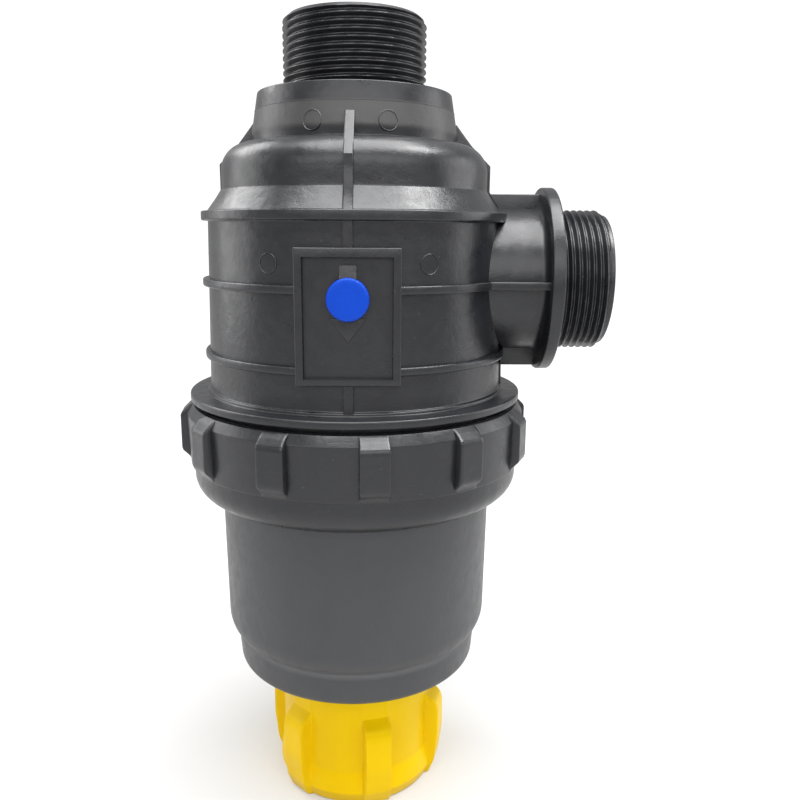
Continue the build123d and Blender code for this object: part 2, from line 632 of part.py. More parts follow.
# Poppet guide: a winged hub that clamps the seal and takes the stem's top
with BuildPart() as poppet_guide:
    with BuildSketch(Plane.XY.offset(WING_FOOT_Z)) as hub_section:
        Circle(POPPET_HUB_R)
    extrude(amount=POPPET_WING_LENGTH)
    with BuildSketch(Plane.XY.offset(SEAL_Z - POPPET_CLAMP)) as clamp_section:
        Circle(POPPET_CLAMP_R)
    extrude(amount=POPPET_CLAMP)
    with BuildSketch(Plane.XY.offset(SEAL_Z)) as guide_spigot_section:
        Circle(POPPET_SPIGOT_R)
    extrude(amount=POPPET_SEAL + POPPET_THICK)
    with BuildSketch(Plane.XY.offset(WING_FOOT_Z)) as wing_sections:
        with PolarLocations(0, POPPET_WING_COUNT):
            with Locations((WING_R / 2, 0)):
                Rectangle(WING_R, POPPET_WING_THICK)
    extrude(amount=POPPET_WING_LENGTH)
    with BuildSketch(Plane.XY.offset(WING_FOOT_Z)) as stem_hole_section:
        Circle(STEM_R + RUNNING_GAP)
    extrude(amount=STEM_HOLE_DEPTH, mode=Mode.SUBTRACT)

# Spring between the poppet and the head's top wall
spring_foot = POPPET_TOP_Z + SPRING_WIRE_R
spring_height = CHAMBER_TOP_Z - POPPET_TOP_Z - 2 * SPRING_WIRE_R
with BuildPart() as valve_spring:
    with BuildLine() as spring_path:
        Helix(pitch=spring_height / SPRING_TURNS, height=spring_height, radius=SPRING_R, center=(0, 0, spring_foot))
    with BuildSketch(Plane.XZ) as wire_section:
        with Locations((SPRING_R, spring_foot)):
            RegularPolygon(SPRING_WIRE_R, 6)
    sweep(is_frenet=True)

# Valve stem, with the foot that turns in the cap
with BuildPart() as valve_stem:
    with BuildSketch(Plane.XY.offset(STEM_FOOT_Z)) as stem_foot_section:
        Circle(STEM_FOOT_R)
    extrude(amount=STEM_FOOT)
    with BuildSketch(Plane.XY.offset(STEM_FOOT_Z)) as stem_section:
        Circle(STEM_R)
    extrude(amount=STEM_TOP_Z - STEM_FOOT_Z)

with BuildPart() as stem_clip:
    with BuildSketch(Plane.XY.offset(CLIP_Z)) as stem_clip_section:
        Circle(CAP_POCKET_R + CLIP_GROOVE - SEAT_GAP)
        Circle(STEM_CLIP_R, mode=Mode.SUBTRACT)
        with Locations((0, CAP_POCKET_R)):
            Rectangle(CLIP_OPENING, CAP_POCKET_R, mode=Mode.SUBTRACT)
    extrude(amount=STEM_CLIP_THICK)

# Cartridge frame: end rings, ribs, hoops and the spider that guides the stem
with BuildPart() as cartridge_frame:
    with BuildSketch(Plane.XZ) as end_sections:
        with BuildLine() as foot_ring_outline:
            Polyline(
                (CAGE_END_R, CAGE_FOOT_Z),
                (CAGE_R, CAGE_FOOT_Z),
                (CAGE_R, CAGE_FOOT_Z + CAGE_RING),
                (CAGE_END_R, CAGE_FOOT_Z + CAGE_RING),
                close=True,
            )
        make_face()
        with BuildLine() as top_ring_outline:
            Polyline(
                (CAGE_END_R, CAGE_NECK_Z),
                (CAGE_R, CAGE_NECK_Z),
                (CAGE_R, CAGE_TOP_Z),
                (CAGE_SOCKET_R, CAGE_TOP_Z),
                (CAGE_SOCKET_R, CAGE_SOCKET_Z),
                (CAGE_END_R, CAGE_SOCKET_Z),
                close=True,
            )
        make_face()
        hoop_pitch = (CAGE_NECK_Z - CAGE_FOOT_Z - CAGE_RING) / (CAGE_HOOP_COUNT + 1)
        for i in range(CAGE_HOOP_COUNT):
            with Locations((CAGE_R - CAGE_RIB_DEPTH / 2, CAGE_FOOT_Z + CAGE_RING + hoop_pitch * (i + 1))):
                Rectangle(CAGE_RIB_DEPTH, CAGE_HOOP_HEIGHT)
    revolve(axis=Axis.Z)
    with BuildSketch(Plane.XY.offset(CAGE_FOOT_Z + CAGE_RING)) as cage_rib_sections:
        with PolarLocations(CAGE_R - CAGE_RIB_DEPTH / 2, CAGE_RIB_COUNT):
            Rectangle(CAGE_RIB_DEPTH, CAGE_RIB_WIDTH)
    extrude(amount=CAGE_NECK_Z - CAGE_FOOT_Z - CAGE_RING)
    with BuildSketch(Plane.XY.offset(CAGE_NECK_Z)) as spider_section:
        Circle(CAGE_HUB_R)
        with PolarLocations(0, CAGE_ARM_COUNT):
            with Locations(((CAGE_END_R + BURIED) / 2, 0)):
                Rectangle(CAGE_END_R + BURIED, CAGE_ARM_WIDTH)
        Circle(STEM_R + RUNNING_GAP, mode=Mode.SUBTRACT)
    extrude(amount=CAGE_HUB_HEIGHT)

with BuildPart() as filter_mesh:
    with BuildSketch(Plane.XY.offset(CAGE_FOOT_Z + CAGE_RING)) as mesh_section:
        Circle(MESH_R)
        Circle(MESH_R - MESH_THICK, mode=Mode.SUBTRACT)
    extrude(amount=CAGE_NECK_Z - CAGE_FOOT_Z - CAGE_RING)

with BuildPart() as cartridge_top_seal:
    with BuildSketch(Plane.XY.offset(CAGE_SOCKET_Z)) as top_seal_section:
        Circle(VALVE_TUBE_R)
        Circle(CAGE_END_R, mode=Mode.SUBTRACT)
    extrude(amount=CAGE_SEAL)

with BuildPart() as cartridge_foot_seal:
    with BuildSketch(Plane.XY.offset(CAGE_SEAT_Z)) as foot_seal_section:
        Circle(BOWL_SEAT_R)
        Circle(CAGE_END_R, mode=Mode.SUBTRACT)
    extrude(amount=CAGE_SEAL)

# Bowl with its neck, its flange for the nut and the seat for the cartridge
BOWL_STEP_TOP_Z = BOWL_BASE_Z + BOWL_STEP_Z
BOWL_CURVE_TOP_Z = BOWL_STEP_TOP_Z + BOWL_CURVE_RISE
with BuildPart() as bowl:
    curve_in = BOWL_LOW_R - BOWL_STEP_R
    curve_r = (curve_in**2 + BOWL_CURVE_RISE**2) / (2 * curve_in)
    with BuildSketch(Plane.XZ) as bowl_section:
        with BuildLine() as bowl_outline:
            Polyline(
                (NECK_BORE_R, CAP_FLOOR),
                (NECK_R, CAP_FLOOR),
                (NECK_R, BOWL_BASE_Z),
                (BOWL_BASE_R - BOWL_BASE_EDGE_R, BOWL_BASE_Z),
            )
            RadiusArc(
                (BOWL_BASE_R - BOWL_BASE_EDGE_R, BOWL_BASE_Z),
                (BOWL_BASE_R, BOWL_BASE_Z + BOWL_BASE_EDGE_R),
                -BOWL_BASE_EDGE_R,
            )
            Polyline(
                (BOWL_BASE_R, BOWL_BASE_Z + BOWL_BASE_EDGE_R),
                (BOWL_BASE_R, BOWL_STEP_TOP_Z),
                (BOWL_STEP_R, BOWL_STEP_TOP_Z),
            )
            RadiusArc((BOWL_STEP_R, BOWL_STEP_TOP_Z), (BOWL_LOW_R, BOWL_CURVE_TOP_Z), -curve_r)
            Polyline(
                (BOWL_LOW_R, BOWL_CURVE_TOP_Z),
                (BOWL_HIGH_R, BOWL_FLANGE_Z),
                (BOWL_MOUTH_R, BOWL_FLANGE_Z),
                (BOWL_MOUTH_R, BOWL_MOUTH_Z),
                (BOWL_BORE_R, BOWL_MOUTH_Z),
                (BOWL_BORE_R, BOWL_FLANGE_Z - SPIGOT_LENGTH),
                (BOWL_LOW_R - BOWL_WALL, BOWL_CURVE_TOP_Z),
            )
            RadiusArc(
                (BOWL_LOW_R - BOWL_WALL, BOWL_CURVE_TOP_Z),
                (BOWL_STEP_R - BOWL_WALL, BOWL_STEP_TOP_Z),
                curve_r,
            )
            Polyline(
                (BOWL_STEP_R - BOWL_WALL, BOWL_STEP_TOP_Z),
                (BOWL_BASE_R - BOWL_WALL, BOWL_FLOOR_Z),
                (BOWL_SEAT_R, BOWL_FLOOR_Z),
                (BOWL_SEAT_R, CAGE_SEAT_Z),
                (CAGE_END_R - RUNNING_GAP, CAGE_SEAT_Z),
                (CAGE_END_R - RUNNING_GAP, CAGE_SEAT_Z + BOWL_RIM_RISE),
                (CAGE_END_R - RUNNING_GAP - BOWL_RIM_WALL, CAGE_SEAT_Z + BOWL_RIM_RISE),
                (CAGE_END_R - RUNNING_GAP - BOWL_RIM_WALL, BOWL_FLOOR_Z),
                (NECK_BORE_R, BOWL_FLOOR_Z),
                (NECK_BORE_R, CAP_FLOOR),
            )
        make_face()
    revolve(axis=Axis.Z)

# Lug of the union nut, turned to +X
NUT_LUG_TOP_Z = NUT_TOP_Z - NUT_LUG_DROP
with BuildPart() as nut_lug:
    with BuildSketch(Plane.XZ) as lug_section:
        with BuildLine() as lug_outline:
            Polyline(
                (NUT_THREAD_R + BURIED, NUT_LUG_TOP_Z - NUT_LUG_HEIGHT),
                (NUT_LUG_R - NUT_LUG_BEVEL, NUT_LUG_TOP_Z - NUT_LUG_HEIGHT),
                (NUT_LUG_R, NUT_LUG_TOP_Z - NUT_LUG_HEIGHT + NUT_LUG_BEVEL),
                (NUT_LUG_R, NUT_LUG_TOP_Z - NUT_LUG_BEVEL),
                (NUT_LUG_R - NUT_LUG_BEVEL, NUT_LUG_TOP_Z),
                (NUT_THREAD_R + BURIED, NUT_LUG_TOP_Z),
                close=True,
            )
        make_face()
    extrude(amount=NUT_LUG_WIDTH / 2, both=True)
    lug_front = nut_lug.faces().sort_by(Axis.X)[-1]
    fillet(lug_front.edges().filter_by(Axis.Z), NUT_LUG_EDGE_R)

# Union nut: its thread hangs on the head's skirt and its lip carries the bowl's flange
NUT_SKIRT_TOP_Z = NUT_FOOT_Z + NUT_SKIRT_HEIGHT
with BuildPart() as ring_nut:
    with BuildSketch(Plane.XZ) as nut_section:
        with BuildLine() as nut_outline:
            Polyline(
                (NUT_LIP_R, BOWL_FLANGE_Z),
                (NUT_LIP_R, NUT_FOOT_Z),
                (NUT_SKIRT_R - NUT_EDGE_R, NUT_FOOT_Z),
            )
            RadiusArc(
                (NUT_SKIRT_R - NUT_EDGE_R, NUT_FOOT_Z),
                (NUT_SKIRT_R, NUT_FOOT_Z + NUT_EDGE_R),
                -NUT_EDGE_R,
            )
            Polyline(
                (NUT_SKIRT_R, NUT_FOOT_Z + NUT_EDGE_R),
                (NUT_SKIRT_R, NUT_SKIRT_TOP_Z),
                (NUT_R - NUT_DRAFT, NUT_SKIRT_TOP_Z),
                (NUT_R, NUT_TOP_Z - NUT_TOP_BEVEL),
                (NUT_TOP_R, NUT_TOP_Z),
                (NUT_THREAD_R, NUT_TOP_Z),
                (NUT_THREAD_R, BOWL_FLANGE_Z),
                (NUT_LIP_R, BOWL_FLANGE_Z),
            )
        make_face()
        fillet(corners_at(nut_section, NUT_R - NUT_DRAFT), MOULD_EDGE_R)
        fillet(corners_at(nut_section, NUT_TOP_R), MOULD_EDGE_R)
    revolve(axis=Axis.Z)
    with PolarLocations(0, NUT_LUG_COUNT, start_angle=NUT_LUG_FIRST_ANGLE):
        add(nut_lug.part)

# Grip rib of the cap, turned to +X
with BuildPart() as cap_rib:
    with BuildSketch(Plane.XZ) as cap_rib_section:
        with BuildLine() as cap_rib_outline:
            Polyline(
                (CAP_WALL_R - BURIED, 0),
                (CAP_RIB_FOOT_R, 0),
                (CAP_RIB_LOW_R, CAP_RIB_LOW_Z),
                (CAP_RIB_R, CAP_RIB_WIDE_Z),
                (CAP_RIB_R, CAP_RIB_SHOULDER_Z),
                (CAP_RIB_R - CAP_RIB_BEVEL, CAP_RIB_BEVEL_Z),
                (CAP_WALL_R, CAP_RIB_TOP_Z),
                (CAP_WALL_R - BURIED, CAP_RIB_TOP_Z),
                close=True,
            )
        make_face()
    extrude(amount=CAP_RIB_WIDTH / 2, both=True)
    fillet(cap_rib.edges().filter_by(Plane.XZ).sort_by(Axis.X)[-4:], CAP_RIB_EDGE_R)

# Cap: grip, socket for the bowl's neck, plug with its seal, and pocket for the stem's foot
CAP_PLUG_TOP_Z = CAP_FLOOR + CAP_PLUG_HEIGHT
CAP_SEAL_Z = CAP_PLUG_TOP_Z - CAP_SEAL_DROP
CAP_FLARE_TOP_Z = CAP_FLARE_Z + CAP_FLARE_RISE
with BuildPart() as valve_cap:
    with BuildSketch(Plane.XZ) as cap_section:
        with BuildLine() as cap_outline:
            Polyline((0, 0), (CAP_FOOT_R - CAP_EDGE_R, 0), (CAP_FOOT_R, CAP_EDGE_R))
            ThreePointArc(
                (CAP_FOOT_R, CAP_EDGE_R),
                (CAP_FLARE_R, CAP_FLARE_Z),
                (CAP_FOOT_R + CAP_EDGE_R, CAP_FLARE_TOP_Z),
            )
            Polyline(
                (CAP_FOOT_R + CAP_EDGE_R, CAP_FLARE_TOP_Z),
                (CAP_WALL_R, CAP_FLARE_TOP_Z + CAP_SLOPE_RISE),
                (CAP_WALL_R, CAP_TOP_Z),
                (CAP_BORE_R, CAP_TOP_Z),
                (CAP_BORE_R, CAP_FLOOR),
                (CAP_PLUG_R, CAP_FLOOR),
                (CAP_PLUG_R, CAP_PLUG_TOP_Z),
                (CAP_PLUG_R - CAP_PLUG_WALL, CAP_PLUG_TOP_Z),
                (CAP_PLUG_R - CAP_PLUG_WALL, CAP_FLOOR),
                (CAP_BOSS_R, CAP_FLOOR),
                (CAP_BOSS_R, CAP_FLOOR + CAP_BOSS_HEIGHT),
                (CAP_POCKET_R, CAP_FLOOR + CAP_BOSS_HEIGHT),
                (CAP_POCKET_R, CLIP_Z + STEM_CLIP_THICK + SEAT_GAP),
                (CAP_POCKET_R + CLIP_GROOVE, CLIP_Z + STEM_CLIP_THICK + SEAT_GAP),
                (CAP_POCKET_R + CLIP_GROOVE, CLIP_Z - SEAT_GAP),
                (CAP_POCKET_R, CLIP_Z - SEAT_GAP),
                (CAP_POCKET_R, STEM_FOOT_Z),
                (0, STEM_FOOT_Z),
                (0, 0),
            )
        make_face()
        with Locations((CAP_PLUG_R - CAP_SEAL_R, CAP_SEAL_Z)):
            Rectangle(2 * CAP_SEAL_R + GROOVE_SIDE, 2 * CAP_SEAL_R + GROOVE_SIDE, mode=Mode.SUBTRACT)
    revolve(axis=Axis.Z)
    with PolarLocations(0, CAP_RIB_COUNT, start_angle=CAP_RIB_FIRST_ANGLE):
        add(cap_rib.part)

with BuildPart() as cap_seal:
    with BuildSketch(Plane.XZ) as cap_seal_section:
        with Locations((NECK_BORE_R - CAP_SEAL_R - SEAT_GAP, CAP_SEAL_Z)):
            Circle(CAP_SEAL_R)
    revolve(axis=Axis.Z)

pieces = {
    "head_body": head_body,
    "marker_plug": marker_plug,
    "bowl_seal": bowl_seal,
    "valve_seat": valve_seat,
    "seat_seal": seat_seal,
    "seat_snap_ring": seat_snap_ring,
    "valve_spring": valve_spring,
    "poppet_disc": poppet_disc,
    "poppet_seal": poppet_seal,
    "poppet_guide": poppet_guide,
    "bowl": bowl,
    "cartridge_frame": cartridge_frame,
    "filter_mesh": filter_mesh,
    "cartridge_top_seal": cartridge_top_seal,
    "cartridge_foot_seal": cartridge_foot_seal,
    "ring_nut": ring_nut,
    "valve_stem": valve_stem,
    "stem_clip": stem_clip,
    "valve_cap": valve_cap,
    "cap_seal": cap_seal,
}
for name, piece in pieces.items():
    piece.part.label = name
    export_step(piece.part, f"parts/{name}.step")
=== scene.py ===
import json

import bmesh
import bpy
import numpy as np
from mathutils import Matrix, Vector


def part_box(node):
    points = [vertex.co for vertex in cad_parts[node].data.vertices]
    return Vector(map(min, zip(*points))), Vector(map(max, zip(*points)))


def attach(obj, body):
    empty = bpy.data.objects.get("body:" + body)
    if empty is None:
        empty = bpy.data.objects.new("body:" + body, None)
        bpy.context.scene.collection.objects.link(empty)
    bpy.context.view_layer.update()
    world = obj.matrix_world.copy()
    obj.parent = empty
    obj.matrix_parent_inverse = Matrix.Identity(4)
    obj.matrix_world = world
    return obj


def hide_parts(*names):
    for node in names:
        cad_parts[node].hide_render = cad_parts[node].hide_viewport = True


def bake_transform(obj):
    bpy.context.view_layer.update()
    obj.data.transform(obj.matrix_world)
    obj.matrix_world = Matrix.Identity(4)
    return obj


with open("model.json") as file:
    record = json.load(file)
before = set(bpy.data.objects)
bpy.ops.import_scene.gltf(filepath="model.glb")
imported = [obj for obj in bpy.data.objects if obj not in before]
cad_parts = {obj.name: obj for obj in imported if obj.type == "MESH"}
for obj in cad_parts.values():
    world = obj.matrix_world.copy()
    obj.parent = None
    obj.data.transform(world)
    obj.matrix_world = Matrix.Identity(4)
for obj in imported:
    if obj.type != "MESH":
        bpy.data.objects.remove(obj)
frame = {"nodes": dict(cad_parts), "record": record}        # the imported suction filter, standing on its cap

MM = 0.001
TAU = 2 * np.pi
AXIS_R = 0.001           # An outline that meets its axis stops this far from it

# The CAD model's box, kept before any piece is added
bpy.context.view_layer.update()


def levels(node):
    """Lowest and highest z of a CAD node, in millimetres."""
    low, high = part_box(node)
    return low[2] / MM, high[2] / MM


# Levels in millimetres above the foot, read from the frame
CAP_TOP_Z = levels("valve_cap")[1]
BOWL_NECK_Z, BOWL_MOUTH_Z = levels("bowl")
NUT_FOOT_Z, NUT_TOP_Z = levels("ring_nut")
SPIGOT_FOOT_Z, PORT_TOP_Z = levels("head_body")
TUBE_END_Z = levels("cartridge_top_seal")[1]
POPPET_TOP_Z = levels("poppet_guide")[1]
SIDE_END_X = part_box("head_body")[1][0] / MM

# Head, from the flange over the nut to the top port
FLANGE_Z = NUT_TOP_Z + 1.7
FLANGE_TOP_Z = FLANGE_Z + 2.6
BARREL_FOOT_Z = FLANGE_TOP_Z + 1.1
RING_Z = BARREL_FOOT_Z + 56.5
SLOPE_Z = RING_Z + 3.1
SHOULDER_Z = SLOPE_Z + 7.0
COLLAR_Z = SHOULDER_Z + 14.9
COLLAR_TOP_Z = PORT_TOP_Z - 24.0
PARTING_Z = COLLAR_TOP_Z - 5.8
FLANGE_R = 58.3
FLANGE_STEP_R = 52.2
BARREL_LOW_R = 51.2
BARREL_TOP_R = 50.0
BARREL_WALL = 3.6
RING_R = 52.3
BAND_R = 52.5
BAND_THICK = 2.6
SLOPE_FOOT_R = 50.3
SHOULDER_R = 45.2
SHOULDER_WALL = 3.5
SHOULDER_EDGE_R = 9.0
COLLAR_LOW_R = 34.2
COLLAR_WIDE_R = 34.7
COLLAR_WIDE_Z = COLLAR_Z + 3.4
COLLAR_TOP_R = 32.6
SKIRT_R = 54.2
SPIGOT_R = 44.9
SPIGOT_BORE_R = 40.6
VALVE_TUBE_R = 33.0
VALVE_CHAMBER_R = 28.0
VALVE_POCKET_R = 29.6
SEAT_TOP_Z = TUBE_END_Z + 8.2
CHAMBER_TOP_Z = COLLAR_TOP_Z - 3.0

# Bowl
BOWL_BASE_Z = CAP_TOP_Z + 1.5
BOWL_LIP_Z = BOWL_BASE_Z + 11.8
BOWL_CURVE_Z = BOWL_BASE_Z + 20.2
BOWL_BASE_R = 43.7
BOWL_FOOT_DRAFT = 0.085
BOWL_CURVE_IN = 3.7
BOWL_LOW_R = 47.8
BOWL_TOP_R = 48.6
BOWL_WALL = 3.4
BOWL_RIM_R = 54.4
BOWL_BORE_R = 45.2
NECK_R = 23.6
NECK_BORE_R = 18.0

# Union nut
NUT_LEDGE_Z = NUT_FOOT_Z + 5.2
NUT_STEP_Z = NUT_FOOT_Z + 12.0
NUT_BORE_R = 49.2
NUT_BELLY_R = 57.9
NUT_STEP_R = 59.1
NUT_SHOULDER_R = 59.7
NUT_MOUTH_R = 57.6
NUT_THREAD_R = 55.6
LUGS = 12
LUG_R = 62.0
LUG_HALF_WIDTH = 4.65
LUG_EDGE = 0.35
LUG_BEVEL = 3.3

# Ports and their pipe thread
THREAD_R = 23.9
THREAD_DEPTH = 1.45
THREAD_PITCH = 2.309
THREAD_CORE_R = 22.3
PORT_BORE_R = 19.0
SIDE_PORT_Z = RING_Z - 19.4
SIDE_TUBE_R = 24.3
SIDE_FLANGE_R = 31.4
SIDE_FLANGE_X = 63.6
SIDE_FLANGE_THICK = 4.3
SIDE_NECK_X = SIDE_FLANGE_X + SIDE_FLANGE_THICK
SIDE_TUBE_START_X = 47.5
BORE_START_X = 30.0
BAND_Z = SIDE_PORT_Z - 0.7
LOW_BAND_Z = BAND_Z - 24.2

# Panel on the front
PANEL_TOP_Z = RING_Z - 7.7
PANEL_FOOT_Z = PANEL_TOP_Z - 40.4
PANEL_HALF = 15.6
PANEL_FACE = 53.0
PANEL_FLOOR = 51.05
PLUG_Z = SIDE_PORT_Z - 3.2
PLUG_R = 6.35
PLUG_HEIGHT = 2.6

# Sides of the filter as angles round its axis
FRONT, RIGHT, BACK, LEFT = -np.pi / 2, 0.0, np.pi / 2, np.pi

# Ribs of the head, and how deep their roots lie in the wall
FIN_PROUD = 1.1
FIN_WIDTH = 3.1
ROOT_DEPTH = 1.8

# Edges sharper than this are shaded as edges
SMOOTH_ANGLE = np.radians(38)

# Camera of the photograph. It stands a little right of the front and looks down on the bowl.
CAMERA_PLACE = (0.0131, -0.28409, 0.20582)
CAMERA_PITCH_DOWN = 12.03
CAMERA_ROLL = -0.41
CAMERA_YAW_RIGHT = 0.48
CAMERA_LENS = 35.81

camera_data = bpy.data.cameras.new("camera")
camera_data.lens = CAMERA_LENS
camera_data.sensor_width = 36.0
camera_data.clip_start = 0.01
camera = bpy.data.objects.new("camera", camera_data)
camera.location = CAMERA_PLACE
camera.rotation_euler = np.radians((90 - CAMERA_PITCH_DOWN, CAMERA_ROLL, -CAMERA_YAW_RIGHT))
bpy.context.scene.collection.objects.link(camera)
bpy.context.scene.camera = camera


# Meshes

def piece_from(name, points, faces, material, body):
    """One mesh piece from points in millimetres and quads or triangles. It rides on a body of the frame."""
    mesh = bpy.data.meshes.new(name)
    mesh.from_pydata((np.asarray(points, float).reshape(-1, 3) * MM).tolist(), [], faces)
    tidy = bmesh.new()
    tidy.from_mesh(mesh)
    bmesh.ops.remove_doubles(tidy, verts=tidy.verts, dist=1e-6)
    bmesh.ops.dissolve_degenerate(tidy, edges=tidy.edges, dist=1e-7)
    loose = [vert for vert in tidy.verts if not vert.link_faces]
    bmesh.ops.delete(tidy, geom=loose, context="VERTS")
    bmesh.ops.recalc_face_normals(tidy, faces=tidy.faces)
    tidy.to_mesh(mesh)
    tidy.free()
    mesh.shade_smooth()
    mesh.set_sharp_from_angle(angle=SMOOTH_ANGLE)
    mesh.materials.append(material)
    piece = bpy.data.objects.new(name, mesh)
    bpy.context.scene.collection.objects.link(piece)
    if body:
        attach(piece, body)
    return piece


def grid_faces(rows, columns, wrap_rows=True, wrap_columns=True):
    """Quads of a grid: each point with its upper, its upper right and its right neighbour, wrapped where closed."""
    index = np.arange(rows * columns).reshape(rows, columns)
    if wrap_rows:
        index = np.vstack([index, index[:1]])
    if wrap_columns:
        index = np.hstack([index, index[:, :1]])
    quads = np.stack([index[:-1, :-1], index[1:, :-1], index[1:, 1:], index[:-1, 1:]], axis=-1)
    return quads.reshape(-1, 4).tolist()


def bar_faces(rows, columns):
    """Faces of a bar: a grid whose columns run round it, with its first and its last row as flat ends."""
    first = list(range(columns))
    last = list(range((rows - 1) * columns, rows * columns))
    return grid_faces(rows, columns, wrap_rows=False) + [first, last[::-1]]


def rounded(corners, radii, steps=5):
    """An outline whose corners are arcs: each arc is tangent to both of its sides, a distance r / tan(half) from it.
    Where the distances at a side's two ends overrun it, both are drawn in. Larger arcs get more points."""
    corners, radii = np.asarray(corners, float), np.asarray(radii, float)
    on = np.roll(corners, -1, axis=0) - corners
    side = np.hypot(*on.T)
    on_unit = on / side[:, None]
    back_unit = -np.roll(on_unit, 1, axis=0)
    half = np.arccos(np.clip(np.sum(back_unit * on_unit, axis=1), -1, 1)) / 2
    reach = np.maximum(radii, 0) / np.tan(half)
    share = np.minimum(1, 0.98 * side / np.maximum(reach + np.roll(reach, -1), 1e-9))
    reach = reach * np.minimum(share, np.roll(share, 1))
    outline = []
    for corner, back, ahead, length, opening in zip(corners, back_unit, on_unit, reach, half):
        if length <= 0:
            outline.append(corner[None])
            continue
        radius = length * np.tan(opening)
        inward = (back + ahead) / np.hypot(*(back + ahead))
        middle = corner + inward * radius / np.sin(opening)
        start = corner + back * length - middle
        end = corner + ahead * length - middle
        turn = np.arctan2(start[0] * end[1] - start[1] * end[0], start @ end)
        angles = np.linspace(0, turn, steps + int(radius))[:, None]
        aside = np.array([-start[1], start[0]])
        outline.append(middle + start * np.cos(angles) + aside * np.sin(angles))
    return np.vstack(outline)


def outline_from(corners, steps=5):
    """An outline from corners that are each given as (radius or place across, height, radius of the corner's arc)."""
    corners = np.array(corners, float)
    return rounded(corners[:, :2], corners[:, 2], steps)


def densified(outline, longest):
    """The closed outline with its long sides cut into equal shares no longer than a given length."""
    ahead = np.roll(outline, -1, axis=0)
    shares = np.maximum(1, np.ceil(np.hypot(*(ahead - outline).T) / longest).astype(int))
    start = np.repeat(outline, shares, axis=0)
    step = np.repeat((ahead - outline) / shares[:, None], shares, axis=0)
    count = np.arange(shares.sum()) - np.repeat(np.cumsum(shares) - shares, shares)
    return start + step * count[:, None]


def smooth_step(share):
    """A share from 0 to 1 that starts and ends level."""
    return share * share * (3 - 2 * share)


def full_turn(count):
    """Angles evenly spread over a turn, as a column."""
    return np.linspace(0, TAU, count, endpoint=False)[:, None]


def round_z(r, angle, z):
    """Points at a radius, an angle and a height, all three as grids or as lines that spread into one."""
    return np.stack([r * np.cos(angle), r * np.sin(angle), z + 0 * angle], axis=-1)


def round_side_port(r, angle, x):
    """Points at a radius and an angle round the side port's axis, at a place along it."""
    return np.stack([x + 0 * angle, r * np.cos(angle), SIDE_PORT_Z + r * np.sin(angle)], axis=-1)


def turned_piece(name, outline, material, body, segments=192, turned=round_z, longest=6.0):
    """A closed outline turned into a ring-shaped wall, as one mesh."""
    outline = densified(outline, longest)
    points = turned(outline[:, 0], full_turn(segments), outline[:, 1])
    return piece_from(name, points, grid_faces(segments, len(outline)), material, body)


def head_piece(name, points, faces):
    """A mesh piece of the head's own plastic."""
    return piece_from(name, points, faces, head_plastic, "head")


def cut_with(piece, cutter):
    """Boolean difference of a piece and a cutter, which is removed afterwards."""
    step = piece.modifiers.new("cut", "BOOLEAN")
    step.operation = "DIFFERENCE"
    step.solver = "EXACT"
    step.object = cutter
    bpy.context.view_layer.update()
    cut = bpy.data.meshes.new_from_object(piece.evaluated_get(bpy.context.evaluated_depsgraph_get()))
    piece.modifiers.clear()
    piece.data = cut
    bpy.data.objects.remove(cutter)
    cut.set_sharp_from_angle(angle=SMOOTH_ANGLE)


# Materials

DUST_COLOUR = (0.32, 0.32, 0.31)


def material_graph(name):
    """A new material with its Principled shader, its node tree and the object's own coordinates."""
    material = bpy.data.materials.new(name)
    material.use_nodes = True
    tree = material.node_tree
    shader = tree.nodes["Principled BSDF"]
    place = tree.nodes.new("ShaderNodeTexCoord").outputs["Object"]
    return material, tree, shader, place


def split_place(tree, place):
    """The X, Y and Z of the object's coordinates."""
    node = tree.nodes.new("ShaderNodeSeparateXYZ")
    tree.links.new(place, node.inputs["Vector"])
    return node.outputs


def noise(tree, place, scale, detail=3.0, roughness=0.5, stretch=(1, 1, 1)):
    """Noise on the object's coordinates. The stretch draws the grain out along an axis."""
    mapping = tree.nodes.new("ShaderNodeMapping")
    mapping.inputs["Scale"].default_value = stretch
    tree.links.new(place, mapping.inputs["Vector"])
    grain = tree.nodes.new("ShaderNodeTexNoise")
    grain.inputs["Scale"].default_value = scale
    grain.inputs["Detail"].default_value = detail
    grain.inputs["Roughness"].default_value = roughness
    tree.links.new(mapping.outputs["Vector"], grain.inputs["Vector"])
    return grain.outputs["Fac"]


def feed(tree, socket, value):
    """Puts a number, a colour or another node's output into a socket."""
    if isinstance(value, (int, float)):
        socket.default_value = value
    elif isinstance(value, tuple):
        socket.default_value = (*value, 1)
    else:
        tree.links.new(value, socket)


def math_node(tree, kind, *values):
    """A calculation on up to three values, each a number or another node's output."""
    node = tree.nodes.new("ShaderNodeMath")
    node.operation = kind
    for socket, value in zip(node.inputs, values):
        feed(tree, socket, value)
    return node.outputs["Value"]


def ranged(tree, value, low, high, start=0.3, end=0.7):
    """A value mapped from start..end to low..high."""
    node = tree.nodes.new("ShaderNodeMapRange")
    node.inputs["From Min"].default_value = start
    node.inputs["From Max"].default_value = end
    node.inputs["To Min"].default_value = low
    node.inputs["To Max"].default_value = high
    tree.links.new(value, node.inputs["Value"])
    return node.outputs["Result"]


def blended(tree, factor, first, second):
    """The first colour where the factor is 0 and the second where it is 1, each a colour or another node's output."""
    node = tree.nodes.new("ShaderNodeMix")
    node.data_type = "RGBA"
    feed(tree, node.inputs["A"], first)
    feed(tree, node.inputs["B"], second)
    tree.links.new(factor, node.inputs["Factor"])
    return node.outputs["Result"]


def bumped(tree, height, strength, distance, below=None):
    """A bump from a height, on top of an earlier bump where there is one."""
    node = tree.nodes.new("ShaderNodeBump")
    node.inputs["Strength"].default_value = strength
    node.inputs["Distance"].default_value = distance
    tree.links.new(height, node.inputs["Height"])
    if below:
        tree.links.new(below, node.inputs["Normal"])
    return node.outputs["Normal"]


